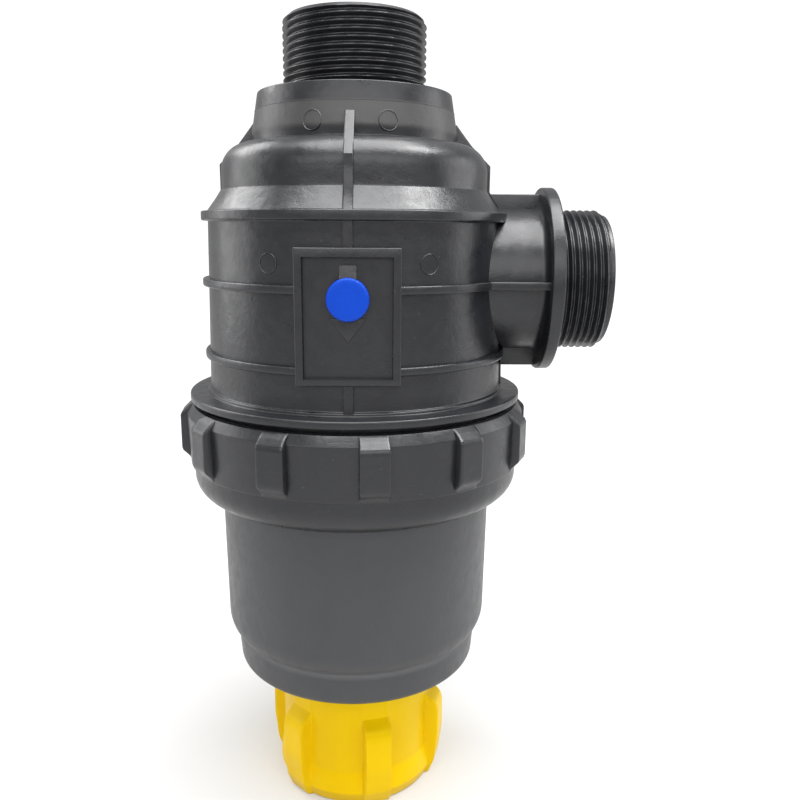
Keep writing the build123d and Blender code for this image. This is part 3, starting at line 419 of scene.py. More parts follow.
def moulded_plastic(
    name, dark, light, rough_low, rough_high, grain_bump, specks=0.0, tint=(1, 1, 1), matte_or_painted_highlight_band=None,
):
    """Injection-moulded plastic: a colour with clouds drawn out along Z, a fine grain and a soft orange-peel bump. A
    band of another colour and a rougher finish, either a frosted finish or a painted highlight, is given by four
    heights and a colour: it fades in over the first two and out over the last two."""
    material, tree, shader, place = material_graph(name)
    cloud = noise(tree, place, 38.0, 4.0, 0.55, (1, 1, 0.25))
    grain = noise(tree, place, 1500.0, 2.0, 0.6)
    peel = noise(tree, place, 260.0, 3.0, 0.5)
    colour = blended(tree, ranged(tree, cloud, 0, 1), dark, light)
    if specks:
        dust = noise(tree, place, 1100.0, 1.0, 0.4)
        colour = blended(tree, ranged(tree, dust, 0, specks, 0.76, 0.78), colour, DUST_COLOUR)
    rough = ranged(tree, peel, rough_low, rough_high)
    # The band: on the collar a frosted finish, on the bowl's lip a painted highlight in a lighter colour
    if matte_or_painted_highlight_band:
        band_low, full_low, full_high, band_high, band_colour = matte_or_painted_highlight_band
        height = split_place(tree, place)["Z"]
        fade_in = ranged(tree, height, 0, 1, band_low * MM, full_low * MM)
        fade_out = ranged(tree, height, 1, 0, full_high * MM, band_high * MM)
        cloudy_out = math_node(tree, "MULTIPLY", fade_out, ranged(tree, cloud, 0.75, 1))
        mask = math_node(tree, "MULTIPLY", fade_in, cloudy_out)
        colour = blended(tree, mask, colour, band_colour)
        rough = math_node(tree, "ADD", rough, math_node(tree, "MULTIPLY", mask, 0.12))
    tree.links.new(colour, shader.inputs["Base Color"])
    tree.links.new(rough, shader.inputs["Roughness"])
    normal = bumped(tree, peel, 0.35, 0.0004)
    normal = bumped(tree, grain, grain_bump, 0.00012, normal)
    tree.links.new(normal, shader.inputs["Normal"])
    shader.inputs["IOR"].default_value = 1.53
    shader.inputs["Specular Tint"].default_value = (*tint, 1)
    return material


def drawn_steel(name, colour, rough_low, rough_high):
    """Bright steel with fine drawing lines round the axis."""
    material, tree, shader, place = material_graph(name)
    lines = noise(tree, place, 900.0, 2.0, 0.6, (0.15, 0.15, 4))
    tree.links.new(blended(tree, lines, tuple(0.75 * c for c in colour), colour), shader.inputs["Base Color"])
    tree.links.new(ranged(tree, lines, rough_low, rough_high), shader.inputs["Roughness"])
    tree.links.new(bumped(tree, lines, 0.2, 0.0001), shader.inputs["Normal"])
    shader.inputs["Metallic"].default_value = 1.0
    return material


def seal_rubber_finish(name):
    """Black rubber with a faint bloom and a fine grain."""
    material, tree, shader, place = material_graph(name)
    bloom = noise(tree, place, 220.0, 4.0, 0.6)
    tree.links.new(blended(tree, bloom, (0.012, 0.012, 0.012), (0.04, 0.04, 0.04)), shader.inputs["Base Color"])
    tree.links.new(ranged(tree, bloom, 0.45, 0.7), shader.inputs["Roughness"])
    tree.links.new(bumped(tree, noise(tree, place, 1800.0), 0.25, 0.0001), shader.inputs["Normal"])
    return material


def woven_mesh_finish(name, wires_round=220, wire_pitch=0.95):
    """Woven wire: a whole number of upright wires round the axis crossed by level ones, each a raised sine wave."""
    material, tree, shader, place = material_graph(name)
    split = split_place(tree, place)
    angle = math_node(tree, "ARCTAN2", split["Y"], split["X"])
    upright = math_node(tree, "SINE", math_node(tree, "MULTIPLY", angle, wires_round))
    level = math_node(tree, "SINE", math_node(tree, "MULTIPLY", split["Z"], TAU / (wire_pitch * MM)))
    height = math_node(tree, "MAXIMUM", upright, level)
    wire = ranged(tree, height, 0, 1, 0.1, 0.8)
    tree.links.new(blended(tree, wire, (0.02, 0.02, 0.022), (0.62, 0.62, 0.6)), shader.inputs["Base Color"])
    tree.links.new(wire, shader.inputs["Metallic"])
    tree.links.new(ranged(tree, wire, 0.75, 0.3, 0, 1), shader.inputs["Roughness"])
    tree.links.new(bumped(tree, wire, 0.8, 0.0002), shader.inputs["Normal"])
    return material


# The collar's frosted band in the head's mould, and a painted highlight on the lip of the bowl's foot: a lighter band
# that stands in for the light line the lip catches
COLLAR_BAND = (COLLAR_Z + 2.4, COLLAR_Z + 4.0, PARTING_Z, PARTING_Z + 0.5, (0.044, 0.042, 0.042))
LIP_PAINTED_HIGHLIGHT = (BOWL_LIP_Z - 1.6, BOWL_LIP_Z - 0.1, BOWL_LIP_Z + 0.4, BOWL_LIP_Z + 2.0, (0.105, 0.106, 0.11))

head_plastic = moulded_plastic(
    "head_plastic", (0.0085, 0.009, 0.0115), (0.014, 0.0145, 0.0175), 0.27, 0.37, 0.3, 0.1, matte_or_painted_highlight_band=COLLAR_BAND,
)
# The bowl's band at the foot's lip is a painted highlight, with a rougher finish
bowl_plastic = moulded_plastic(
    "bowl_plastic", (0.036, 0.037, 0.04), (0.045, 0.046, 0.05), 0.36, 0.46, 0.25, 0.06, matte_or_painted_highlight_band=LIP_PAINTED_HIGHLIGHT,
)
cap_plastic = moulded_plastic(
    "cap_plastic", (0.8, 0.5, 0.0), (0.86, 0.57, 0.0), 0.33, 0.43, 0.2, tint=(1, 0.8, 0.1),
)
marker_plastic = moulded_plastic(
    "marker_plastic", (0.0025, 0.044, 0.42), (0.0035, 0.053, 0.5), 0.3, 0.4, 0.15, tint=(0.3, 0.5, 1),
)
spring_steel = drawn_steel("spring_steel", (0.6, 0.6, 0.61), 0.2, 0.35)
valve_plastic = moulded_plastic("valve_plastic", (0.42, 0.4, 0.35), (0.5, 0.48, 0.42), 0.4, 0.5, 0.2)
cartridge_plastic = moulded_plastic("cartridge_plastic", (0.01, 0.07, 0.42), (0.015, 0.1, 0.55), 0.38, 0.48, 0.2)

finishes = {
    "head_plastic": head_plastic,
    "bowl_plastic": bowl_plastic,
    "cap_plastic": cap_plastic,
    "marker_plastic": marker_plastic,
    "valve_plastic": valve_plastic,
    "cartridge_plastic": cartridge_plastic,
    "mesh_steel": woven_mesh_finish("mesh_steel"),
    "spring_steel": spring_steel,
    "seal_rubber": seal_rubber_finish("seal_rubber"),
}
for part in frame["record"]["subparts"]:
    node = frame["nodes"][part["node"]]
    node.data.materials.clear()
    node.data.materials.append(finishes[part["material_slot"]])


# Head: main wall

def head_wall():
    """The head's wall, from the spigot in the bowl to the top port, as one closed outline turned round the axis."""
    spigot_top_z = BOWL_MOUTH_Z + 3.0
    spigot_and_flange = [
        (SPIGOT_BORE_R, SPIGOT_FOOT_Z, 0.6), (SPIGOT_R, SPIGOT_FOOT_Z, 0.8), (SPIGOT_R, BOWL_MOUTH_Z, 0),
        (SKIRT_R, BOWL_MOUTH_Z, 0.6), (SKIRT_R, FLANGE_Z, 0), (FLANGE_R, FLANGE_Z, 0.5),
        (FLANGE_R, FLANGE_TOP_Z, 0.6), (FLANGE_STEP_R, FLANGE_TOP_Z, 0.4), (FLANGE_STEP_R, BARREL_FOOT_Z, 0.5),
        (BARREL_LOW_R, BARREL_FOOT_Z, 0.4),
    ]
    barrel_and_shoulder = [
        (BARREL_TOP_R, RING_Z, 0.5), (RING_R, RING_Z, 0.5), (RING_R, SLOPE_Z, 0.5), (SLOPE_FOOT_R, SLOPE_Z, 0.8),
        (SHOULDER_R, SHOULDER_Z, 0.9), (SHOULDER_R, COLLAR_Z, SHOULDER_EDGE_R), (COLLAR_LOW_R, COLLAR_Z, 0.5),
    ]
    collar_and_port = [
        (COLLAR_WIDE_R, COLLAR_WIDE_Z, 6.0), (COLLAR_TOP_R, COLLAR_TOP_Z, 0.35),
        (THREAD_CORE_R + 0.3, COLLAR_TOP_Z, 0.4), (THREAD_CORE_R, COLLAR_TOP_Z + 1.0, 0),
        (THREAD_CORE_R, PORT_TOP_Z, 0.5), (PORT_BORE_R, PORT_TOP_Z, 0.6),
    ]
    inside = [
        (PORT_BORE_R, CHAMBER_TOP_Z, 0.6), (VALVE_CHAMBER_R, CHAMBER_TOP_Z, 0.8), (VALVE_CHAMBER_R, SEAT_TOP_Z, 0),
        (VALVE_POCKET_R, SEAT_TOP_Z, 0), (VALVE_POCKET_R, TUBE_END_Z, 0.3), (VALVE_TUBE_R, TUBE_END_Z, 0.3),
        (VALVE_TUBE_R, COLLAR_Z - SHOULDER_WALL, 0.8), (SHOULDER_R - SHOULDER_WALL, COLLAR_Z - SHOULDER_WALL, 5.4),
        (SHOULDER_R - SHOULDER_WALL, SHOULDER_Z, 1.5), (BARREL_TOP_R - BARREL_WALL, SLOPE_Z, 1.5),
        (BARREL_LOW_R - BARREL_WALL, BARREL_FOOT_Z, 0), (BARREL_LOW_R - BARREL_WALL, spigot_top_z, 0.8),
        (SPIGOT_BORE_R, spigot_top_z, 0.8),
    ]
    outline = outline_from(spigot_and_flange + barrel_and_shoulder + collar_and_port + inside)
    return turned_piece("head_wall", outline, head_plastic, "head", longest=5.0)


head = head_wall()
bore_outline = outline_from([
    (AXIS_R, BORE_START_X, 0), (PORT_BORE_R, BORE_START_X, 0), (PORT_BORE_R, SIDE_FLANGE_X, 0),
    (AXIS_R, SIDE_FLANGE_X, 0),
])
bore_cutter = turned_piece("bore_cutter", bore_outline, head_plastic, None, 128, round_side_port)
cut_with(head, bore_cutter)
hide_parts("head_body")


def side_port():
    """The side port's tube, flange and threaded neck, as one closed outline turned round the port's axis. Its inner end
    follows the barrel's bore: at height y over the axis it starts at the root of R squared less y squared."""
    bore_r = BARREL_TOP_R - BARREL_WALL + 0.2
    segments = 192
    outline = outline_from([
        (PORT_BORE_R, SIDE_TUBE_START_X, 0), (SIDE_TUBE_R, SIDE_TUBE_START_X, 0), (SIDE_TUBE_R, SIDE_FLANGE_X, 2.5),
        (SIDE_FLANGE_R, SIDE_FLANGE_X, 0.7), (SIDE_FLANGE_R, SIDE_NECK_X, 0.7),
        (THREAD_CORE_R + 0.3, SIDE_NECK_X, 0.4), (THREAD_CORE_R, SIDE_NECK_X + 1.0, 0),
        (THREAD_CORE_R, SIDE_END_X, 0.6), (PORT_BORE_R, SIDE_END_X, 0.7),
    ])
    outline = densified(outline, 4.0)
    points = round_side_port(outline[:, 0], full_turn(segments), outline[:, 1])
    inner_end = np.sqrt(bore_r**2 - points[..., 1] ** 2)
    at_start = np.isclose(outline[:, 1], SIDE_TUBE_START_X)
    points[..., 0] = np.where(at_start, inner_end, points[..., 0])
    head_piece("side_port", points, grid_faces(segments, len(outline)))


side_port()


# Pipe threads

def pipe_thread(name, start, end, chamfer, turned):
    """A right-handed pipe thread as a sleeve. Its outer radius is the root radius plus the thread's depth times a
    rounded triangle wave of (height over pitch, less angle over a turn). The wave fades in at the neck, and the chamfer
    cuts it off at the free end. Its inner side is a plain cylinder sunk in the neck."""
    segments, rows_per_pitch = 240, 24
    valley, flank, softness = 0.12, 0.78, 0.2
    fade_start, fade_length, chamfer_slope = 0.6, 1.6, 1.15
    rows = int((end - start) / THREAD_PITCH * rows_per_pitch)
    angle = full_turn(segments)
    height = np.linspace(start, end, rows)[None, :]
    phase = (height / THREAD_PITCH - angle / TAU) % 1.0
    wave = 1 - np.abs(2 * phase - 1)
    tooth = np.clip((wave - valley) / flank, 0, 1)
    tooth = smooth_step(tooth) * softness + tooth * (1 - softness)
    fade = np.clip((height - start - fade_start) / fade_length, 0, 1)
    radius = THREAD_R - THREAD_DEPTH + THREAD_DEPTH * tooth * fade
    near_end = np.clip(1 - (end - height) / chamfer, 0, 1)
    radius = np.minimum(radius, THREAD_R - chamfer * near_end * chamfer_slope)
    inner = np.full((segments, 1), THREAD_CORE_R - 0.6)
    r = np.hstack([radius, inner, inner])
    h = np.hstack([height + 0 * angle, np.full((segments, 1), end - 0.02), np.full((segments, 1), start)])
    head_piece(name, turned(r, angle, h), grid_faces(segments, rows + 2))


pipe_thread("top_thread", COLLAR_TOP_Z + 0.5, PORT_TOP_Z - 0.05, 1.5, round_z)
pipe_thread("side_thread", SIDE_NECK_X + 0.5, SIDE_END_X - 0.05, 2.6, round_side_port)


# Fins, bands and webs

def barrel_wall_r(z):
    """Radius of the barrel's drafted wall at a height."""
    return BARREL_LOW_R + (BARREL_TOP_R - BARREL_LOW_R) * (z - BARREL_FOOT_Z) / (RING_Z - BARREL_FOOT_Z)


def bar_between(name, outer, inner, width, edge, place):
    """A moulded rib between two lines in a plane: its free edge runs along the outer line, with its two long corners
    rounded as quarter circles, and its root runs along the inner line inside the wall. Place turns (along, up, across)
    into xyz."""
    outer, inner = np.asarray(outer, float)[:, None, :], np.asarray(inner, float)[:, None, :]
    inward = (inner - outer) / np.linalg.norm(inner - outer, axis=-1, keepdims=True)
    arc = np.linspace(0, np.pi / 2, 4)
    half = width / 2
    corner_across, corner_drop = edge * (1 - np.cos(arc)), edge * (1 - np.sin(arc))
    across = np.concatenate([[-half], -half + corner_across, half - corner_across[::-1], [half]])
    drop = np.concatenate([[0], corner_drop, corner_drop[::-1], [0]])
    root = np.zeros(len(across), bool)
    root[[0, -1]] = True
    line = np.where(root[None, :, None], inner, outer + inward * drop[None, :, None])
    flat = np.concatenate([line, np.broadcast_to(across, line.shape[:2])[..., None]], axis=-1)
    head_piece(name, place(flat), bar_faces(*line.shape[:2]))


def upright_at(angle):
    """A function that puts (along, up, across) in the upright plane at an angle round the axis."""
    cos, sin = np.cos(angle), np.sin(angle)

    def place(flat):
        r, z, t = flat[..., 0], flat[..., 1], flat[..., 2]
        return np.stack([r * cos - t * sin, r * sin + t * cos, z], axis=-1)

    return place


gusset_outer = [
    (COLLAR_LOW_R + 0.3, COLLAR_TOP_Z - 9.0), (COLLAR_LOW_R + 5.4, COLLAR_Z + 0.6),
    (SHOULDER_R + FIN_PROUD, COLLAR_Z - 6.2), (SHOULDER_R + FIN_PROUD, COLLAR_Z - 9.0),
    (SHOULDER_R + FIN_PROUD, SHOULDER_Z + 0.2), (SLOPE_FOOT_R + FIN_PROUD, SLOPE_Z - 0.3),
]
gusset_inner = [
    (COLLAR_LOW_R - 1.2, COLLAR_TOP_Z - 9.2), (COLLAR_LOW_R + 0.4, COLLAR_Z - 1.4),
    (SHOULDER_R - 4.3, COLLAR_Z - 4.0), (SHOULDER_R - ROOT_DEPTH, COLLAR_Z - 9.0),
    (SHOULDER_R - ROOT_DEPTH, SHOULDER_Z - 0.6), (SLOPE_FOOT_R - ROOT_DEPTH, SLOPE_Z - 0.3),
]


def barrel_fin(name, high, low, angle):
    """A fin down the barrel between two levels, as proud of the drafted wall as the gusset is of the shoulder."""
    ends = np.array([high, low])
    wall = barrel_wall_r(ends)
    outer = np.stack([wall + FIN_PROUD, ends], axis=1)
    inner = np.stack([wall - ROOT_DEPTH, ends], axis=1)
    bar_between(name, outer, inner, FIN_WIDTH, 0.4, upright_at(angle))


fin_top_z, fin_foot_z = RING_Z + 0.5, BARREL_FOOT_Z - 0.2
for side, angle in (("front", FRONT), ("right", RIGHT), ("back", BACK), ("left", LEFT)):
    bar_between(f"gusset_{side}", gusset_outer, gusset_inner, FIN_WIDTH, 0.45, upright_at(angle))
for side, angle in (("back", BACK), ("left", LEFT)):
    barrel_fin(f"barrel_fin_{side}", fin_top_z, fin_foot_z, angle)
barrel_fin("barrel_fin_over_panel", fin_top_z, PANEL_TOP_Z - 0.3, FRONT)
barrel_fin("barrel_fin_under_panel", PANEL_FOOT_Z + 0.3, fin_foot_z, FRONT)
barrel_fin("barrel_fin_under_port", SIDE_PORT_Z - 26.0, fin_foot_z, RIGHT)


def barrel_band(name, level, start, end):
    """A band round the barrel between two angles: a flat section with rounded outer edges, swept round the axis."""
    low, high = level - BAND_THICK / 2, level + BAND_THICK / 2
    root = BARREL_TOP_R - ROOT_DEPTH
    section = outline_from([(root, low, 0), (BAND_R, low, 0.6), (BAND_R, high, 0.6), (root, high, 0)])
    degrees_per_row = 1.9
    angle = np.radians(np.linspace(start, end, int((end - start) / degrees_per_row)))[:, None]
    points = round_z(section[:, 0], angle, section[:, 1])
    head_piece(name, points, bar_faces(*points.shape[:2]))


band_end_depth = 1.2
panel_side = np.degrees(np.arcsin((PANEL_HALF - band_end_depth) / BAND_R))
tube_side = np.degrees(np.arcsin((SIDE_TUBE_R - band_end_depth) / BAND_R))
barrel_band("low_band", LOW_BAND_Z, -90 + panel_side, 270 - panel_side)
barrel_band("band_front", BAND_Z, -90 + panel_side, -tube_side)
barrel_band("band_back", BAND_Z, tube_side, 270 - panel_side)


def port_plane(turn):
    """A function that puts (along, up, across) in a plane through the side port's axis, at an angle round it."""
    cos, sin = np.cos(turn), np.sin(turn)

    def place(flat):
        x, up, t = flat[..., 0], flat[..., 1], flat[..., 2]
        return np.stack([x, -up * sin + t * cos, SIDE_PORT_Z + up * cos + t * sin], axis=-1)

    return place


def port_level(side):
    """A function that puts (along, up, across) in the level plane of the upper band, up towards -Y or +Y."""
    def place(flat):
        x, out, t = flat[..., 0], flat[..., 1], flat[..., 2]
        return np.stack([x, side * out, BAND_Z + side * t], axis=-1)

    return place


def port_web(name, start, up, width, place):
    """A web along the side port's tube, from a place in the barrel's wall to the flange, with its edge up at a height
    over the port's axis. Start gives where its edge and its root begin."""
    web_end, tube_root = SIDE_FLANGE_X + 1.0, SIDE_TUBE_R - ROOT_DEPTH
    edge_start, root_start = start
    outer = [(edge_start, up), (web_end, up)]
    inner = [(root_start, tube_root), (web_end, tube_root)]
    bar_between(name, outer, inner, width, 0.4, place)


port_web("top_web", (44.0, 44.0), 29.1, FIN_WIDTH, port_plane(0.0))
port_web("foot_web", (48.8, 48.8), 30.4, FIN_WIDTH, port_plane(np.pi))
port_web("front_web", (41.8, 44.5), 27.5, BAND_THICK, port_level(-1))
port_web("back_web", (41.8, 44.5), 27.5, BAND_THICK, port_level(1))


# Front panel

def panel_plate():
    """The framed panel as a relief over the XZ plane: the rim rises from the wall with rounded edges, and the window
    sinks to the floor. Both are the smaller of a profile across and a profile up. The rim's profile is a quarter circle
    of the distance from the edge, and the window's is a short ramp. Grid lines lie close together at each step."""
    soft, half_step, back_y = 0.4, 0.12, -46.0
    window_half = PANEL_HALF - 2.4
    window_foot, window_top = PANEL_FOOT_Z + 2.1, PANEL_TOP_Z - 2.8

    def lines(low, high, window_low, window_high):
        edge = low + soft * (1 - np.cos(np.linspace(0, np.pi / 2, 4)))
        far = high - soft * (1 - np.cos(np.linspace(np.pi / 2, 0, 4)))
        step_in = [window_low - half_step, window_low + half_step]
        step_out = [window_high - half_step, window_high + half_step]
        middle = np.linspace(window_low + 1.2, window_high - 1.2, 16)
        return np.concatenate([edge, step_in, middle, step_out, far])

    def ramp(at, low, high, width):
        return np.clip(np.minimum(at - low, high - at) / width, 0, 1)

    xs = lines(-PANEL_HALF, PANEL_HALF, -window_half, window_half)
    zs = lines(PANEL_FOOT_Z, PANEL_TOP_Z, window_foot, window_top)
    edge_share = np.minimum(
        ramp(xs, -PANEL_HALF, PANEL_HALF, soft)[:, None], ramp(zs, PANEL_FOOT_Z, PANEL_TOP_Z, soft)[None, :],
    )
    rim = PANEL_FACE - soft * (1 - np.sqrt(1 - (1 - edge_share) ** 2))
    window = np.minimum(
        ramp(xs, -window_half - half_step, window_half + half_step, 2 * half_step)[:, None],
        ramp(zs, window_foot - half_step, window_top + half_step, 2 * half_step)[None, :],
    )
    depth = rim - (PANEL_FACE - PANEL_FLOOR) * window
    x, z = np.meshgrid(xs, zs, indexing="ij")
    front = np.stack([x, -depth, z], axis=-1)
    rows, columns = depth.shape
    back = front.copy()
    back[..., 1] = back_y
    index = np.arange(rows * columns).reshape(rows, columns)
    rim_line = np.concatenate([index[:-1, 0], index[-1, :-1], index[:0:-1, -1], index[0, :0:-1]])
    ahead = np.roll(rim_line, -1)
    side = np.stack([rim_line, ahead, ahead + rows * columns, rim_line + rows * columns], axis=1)
    faces = grid_faces(rows, columns, False, False) + side.tolist() + [(rim_line[::-1] + rows * columns).tolist()]
    head_piece("front_panel", np.vstack([front.reshape(-1, 3), back.reshape(-1, 3)]), faces)


panel_plate()


def raised_outline(name, corners, floor, face, edge):
    """A flat raised form on the panel: the outline at the floor, again below the face, and drawn in by the edge's width
    at the face. Each corner is drawn in along the mitre of its two sides."""
    corners = np.asarray(corners, float)
    ahead = np.roll(corners, -1, axis=0) - corners
    ahead /= np.hypot(*ahead.T)[:, None]
    inward = np.stack([-ahead[:, 1], ahead[:, 0]], axis=1)
    mitre = inward + np.roll(inward, 1, axis=0)
    mitre /= np.sum(mitre * inward, axis=1)[:, None]
    rings = [(0.0, floor), (0.0, face - edge), (edge * 0.35, face - edge * 0.3), (edge, face)]
    points = [
        np.stack([inset[:, 0], np.full(len(corners), -y), inset[:, 1]], axis=1)
        for inset, y in ((corners + mitre * drawn, y) for drawn, y in rings)
    ]
    head_piece(name, np.vstack(points), bar_faces(len(rings), len(corners)))


arrow_top = PANEL_TOP_Z - 5.0
arrow_neck = arrow_top - 15.5
arrow_tip = arrow_top - 22.5
shaft_half, head_half = 2.6, 5.5
raised_outline(
    "flow_arrow",
    [(-shaft_half, arrow_top), (-shaft_half, arrow_neck), (-head_half, arrow_neck), (0, arrow_tip),
     (head_half, arrow_neck), (shaft_half, arrow_neck), (shaft_half, arrow_top)],
    PANEL_FLOOR - 0.5, PANEL_FLOOR + 0.4, 0.2,
)


def marker():
    """The round blue marker: a closed outline turned round an axis that points out of the panel."""
    segments, face = 96, PANEL_FLOOR + PLUG_HEIGHT
    outline = outline_from([(AXIS_R, PANEL_FLOOR, 0), (PLUG_R, PANEL_FLOOR, 0), (PLUG_R, face, 0.7), (AXIS_R, face, 0)])
    outline = densified(outline, 1.5)
    angle = full_turn(segments)
    r, out = outline[:, 0], outline[:, 1]
    points = np.stack([r * np.cos(angle), -out + 0 * angle, PLUG_Z + r * np.sin(angle)], axis=-1)
    faces = grid_faces(segments, len(outline))
    plug = piece_from("marker_head", points, faces, marker_plastic, "head")
    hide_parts("marker_plug")


marker()


def mould_mark(name, middle_angle, middle_z, radius, wall):
    """A moulding mark: a thin ridge along a circle drawn on the wall. The ridge's section is a half sine. The point at
    angle b lies at middle angle plus radius cos b over the wall's radius, and at height plus radius sin b."""
    half_width, height, sunk = 0.22, 0.3, 0.08
    around = full_turn(72)
    across = np.linspace(-1, 1, 7)[None, :]
    ring = radius + half_width * across
    lift = height * np.cos(across * np.pi / 2) - sunk
    z = middle_z + ring * np.sin(around)
    base = wall(z)
    turn = middle_angle + ring * np.cos(around) / base
    head_piece(name, round_z(base + lift, turn, z), grid_faces(*z.shape))


def collar_wall_r(z):
    """Radius of the collar's conical side at a height."""
    return COLLAR_WIDE_R + (COLLAR_TOP_R - COLLAR_WIDE_R) * (z - COLLAR_WIDE_Z) / (COLLAR_TOP_Z - COLLAR_WIDE_Z)


parting_r = collar_wall_r(PARTING_Z)
ridge_half, ridge_proud, ridge_root = 0.3, 0.09, 0.6
parting_section = np.array([
    (parting_r - ridge_root, PARTING_Z - ridge_half), (parting_r + ridge_proud, PARTING_Z),
    (parting_r - ridge_root, PARTING_Z + ridge_half),
])
turned_piece("collar_parting_ridge", parting_section, head_plastic, "head")

mark_r = 3.0
for side, lean in (("left", -1), ("right", 1)):
    for face, middle in (("front", FRONT), ("back", BACK)):
        mould_mark(f"barrel_mark_{face}_{side}", middle + lean * 0.5, SIDE_PORT_Z + 6.8, mark_r, barrel_wall_r)
        mould_mark(f"collar_mark_{face}_{side}", middle + lean * 0.34, COLLAR_Z + 4.6, mark_r, collar_wall_r)


# Union nut

def spread_cells(cell, pitch, count, first):
    """The angles of one cell repeated round a turn, as two columns: from the nearest lug or rib and from the X axis."""
    from_middle = np.where(cell > pitch / 2, cell - pitch, cell)
    angle = first + (np.arange(count)[:, None] * pitch + cell[None, :]).ravel()
    return np.tile(from_middle, count)[:, None], angle[:, None]


def union_nut():
    """The nut as one closed grid. Each ring of the outline is a radius at a height. On the outer side a lug lifts the
    radius to its own flat face, which is lug radius over cos(angle from the lug), where that is the larger of the two.
    The grid's angles lie close together at the lugs' edges."""
    first = np.radians(-82.3)
    half = np.arcsin(LUG_HALF_WIDTH / LUG_R)
    soft = LUG_EDGE / LUG_R
    pitch = TAU / LUGS
    cell = np.concatenate([
        [-half - soft * 0.6, -half, -half + soft * 0.35, -half + soft],
        np.linspace(-half + 3 * soft, half - 3 * soft, 7),
        [half - soft, half - soft * 0.35, half, half + soft * 0.6],
        np.linspace(half + soft * 3, pitch - half - soft * 3, 11),
    ])
    from_lug, angle = spread_cells(cell, pitch, LUGS, first)
    outline = outline_from([
        (NUT_BORE_R, NUT_FOOT_Z, 0.5), (NUT_BELLY_R, NUT_FOOT_Z, 8.5), (NUT_BELLY_R, NUT_STEP_Z, 0.3),
        (NUT_STEP_R, NUT_STEP_Z, 0.4), (NUT_SHOULDER_R, NUT_TOP_Z - 3.1, 0.8), (NUT_MOUTH_R, NUT_TOP_Z, 0.6),
        (NUT_THREAD_R, NUT_TOP_Z, 0.5), (NUT_THREAD_R, NUT_LEDGE_Z, 0), (NUT_BORE_R, NUT_LEDGE_Z, 0.3),
    ], 6)
    outline = densified(outline, 1.1)
    r, z = outline[None, :, 0], outline[None, :, 1]
    lug_low, lug_high, lug_root_r = NUT_TOP_Z - 20.1, NUT_TOP_Z - 0.5, 56.5
    bevel = np.clip(np.minimum(z - lug_low, lug_high - z), 0, LUG_BEVEL)
    inset = np.clip((half - np.abs(from_lug)) / soft, 0, 1)
    lug_face = LUG_R - LUG_BEVEL + bevel
    lug_r = (lug_face - LUG_EDGE * (1 - inset) ** 2) / np.cos(from_lug)
    on_lug = (np.abs(from_lug) <= half + 1e-9) & (z > lug_low + 0.05) & (z < lug_high - 0.05) & (r > lug_root_r)
    radius = np.where(on_lug, np.maximum(lug_r, r), r)
    points, faces = round_z(radius, angle, z), grid_faces(len(angle), len(outline))
    nut = piece_from("union_nut", points, faces, head_plastic, "nut")
    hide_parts("ring_nut")


union_nut()


# Bowl

def bowl_wall():
    """The bowl with its neck, as one closed outline turned round the axis. The wall turns in along an arc, down to the
    foot's lip, where the radius steps out again. A running mean over the levels makes the step a soft one."""
    rise = BOWL_CURVE_Z - BOWL_LIP_Z
    curve_r = (BOWL_CURVE_IN**2 + rise**2) / (2 * BOWL_CURVE_IN)
    level = np.linspace(BOWL_BASE_Z + 4.2, BOWL_CURVE_Z, 45)
    above = level > BOWL_LIP_Z
    drop = np.minimum(BOWL_CURVE_Z - level, rise)
    curve = BOWL_LOW_R - curve_r + np.sqrt(curve_r**2 - drop**2)
    stepped = np.where(above, curve, BOWL_BASE_R + BOWL_FOOT_DRAFT * (level - BOWL_BASE_Z))
    weights = [0.1, 0.2, 0.4, 0.2, 0.1]
    soft_step = np.convolve(np.pad(stepped, len(weights) // 2, mode="edge"), weights, mode="valid")
    outer_curve = [(r, z, 0) for r, z in zip(soft_step, level)]
    inner_curve = [(r - BOWL_WALL, z, 0) for r, z in zip(curve[above], level[above])][::-1]
    floor_z = BOWL_BASE_Z + BOWL_WALL
    seat_z, ring_z = BOWL_BASE_Z + 5.4, BOWL_BASE_Z + 9.9
    floor_r, seat_r, ring_r, ring_bore_r = 40.3, 35.0, 29.5, 28.2
    neck = [
        (NECK_BORE_R, BOWL_NECK_Z, 0.5), (NECK_R, BOWL_NECK_Z, 0.5), (NECK_R, BOWL_BASE_Z, 0.8),
        (BOWL_BASE_R, BOWL_BASE_Z, 3.2),
    ]
    rim = [
        (BOWL_TOP_R, NUT_LEDGE_Z, 0.5), (BOWL_RIM_R, NUT_LEDGE_Z, 0.4), (BOWL_RIM_R, BOWL_MOUTH_Z, 0.5),
        (BOWL_BORE_R, BOWL_MOUTH_Z, 0.6), (BOWL_BORE_R, NUT_LEDGE_Z - 10.2, 0),
    ]
    cartridge_seat = [
        (floor_r, floor_z, 2.5), (seat_r, floor_z, 0), (seat_r, seat_z, 0.4), (ring_r, seat_z, 0),
        (ring_r, ring_z, 0.4), (ring_bore_r, ring_z, 0.4), (ring_bore_r, floor_z, 0), (NECK_BORE_R, floor_z, 0.8),
    ]
    outline = outline_from(neck + outer_curve + rim + inner_curve + cartridge_seat, 6)
    shell = turned_piece("bowl_wall", outline, bowl_plastic, "bowl", longest=5.0)
    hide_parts("bowl")


bowl_wall()


# Ribbed cap

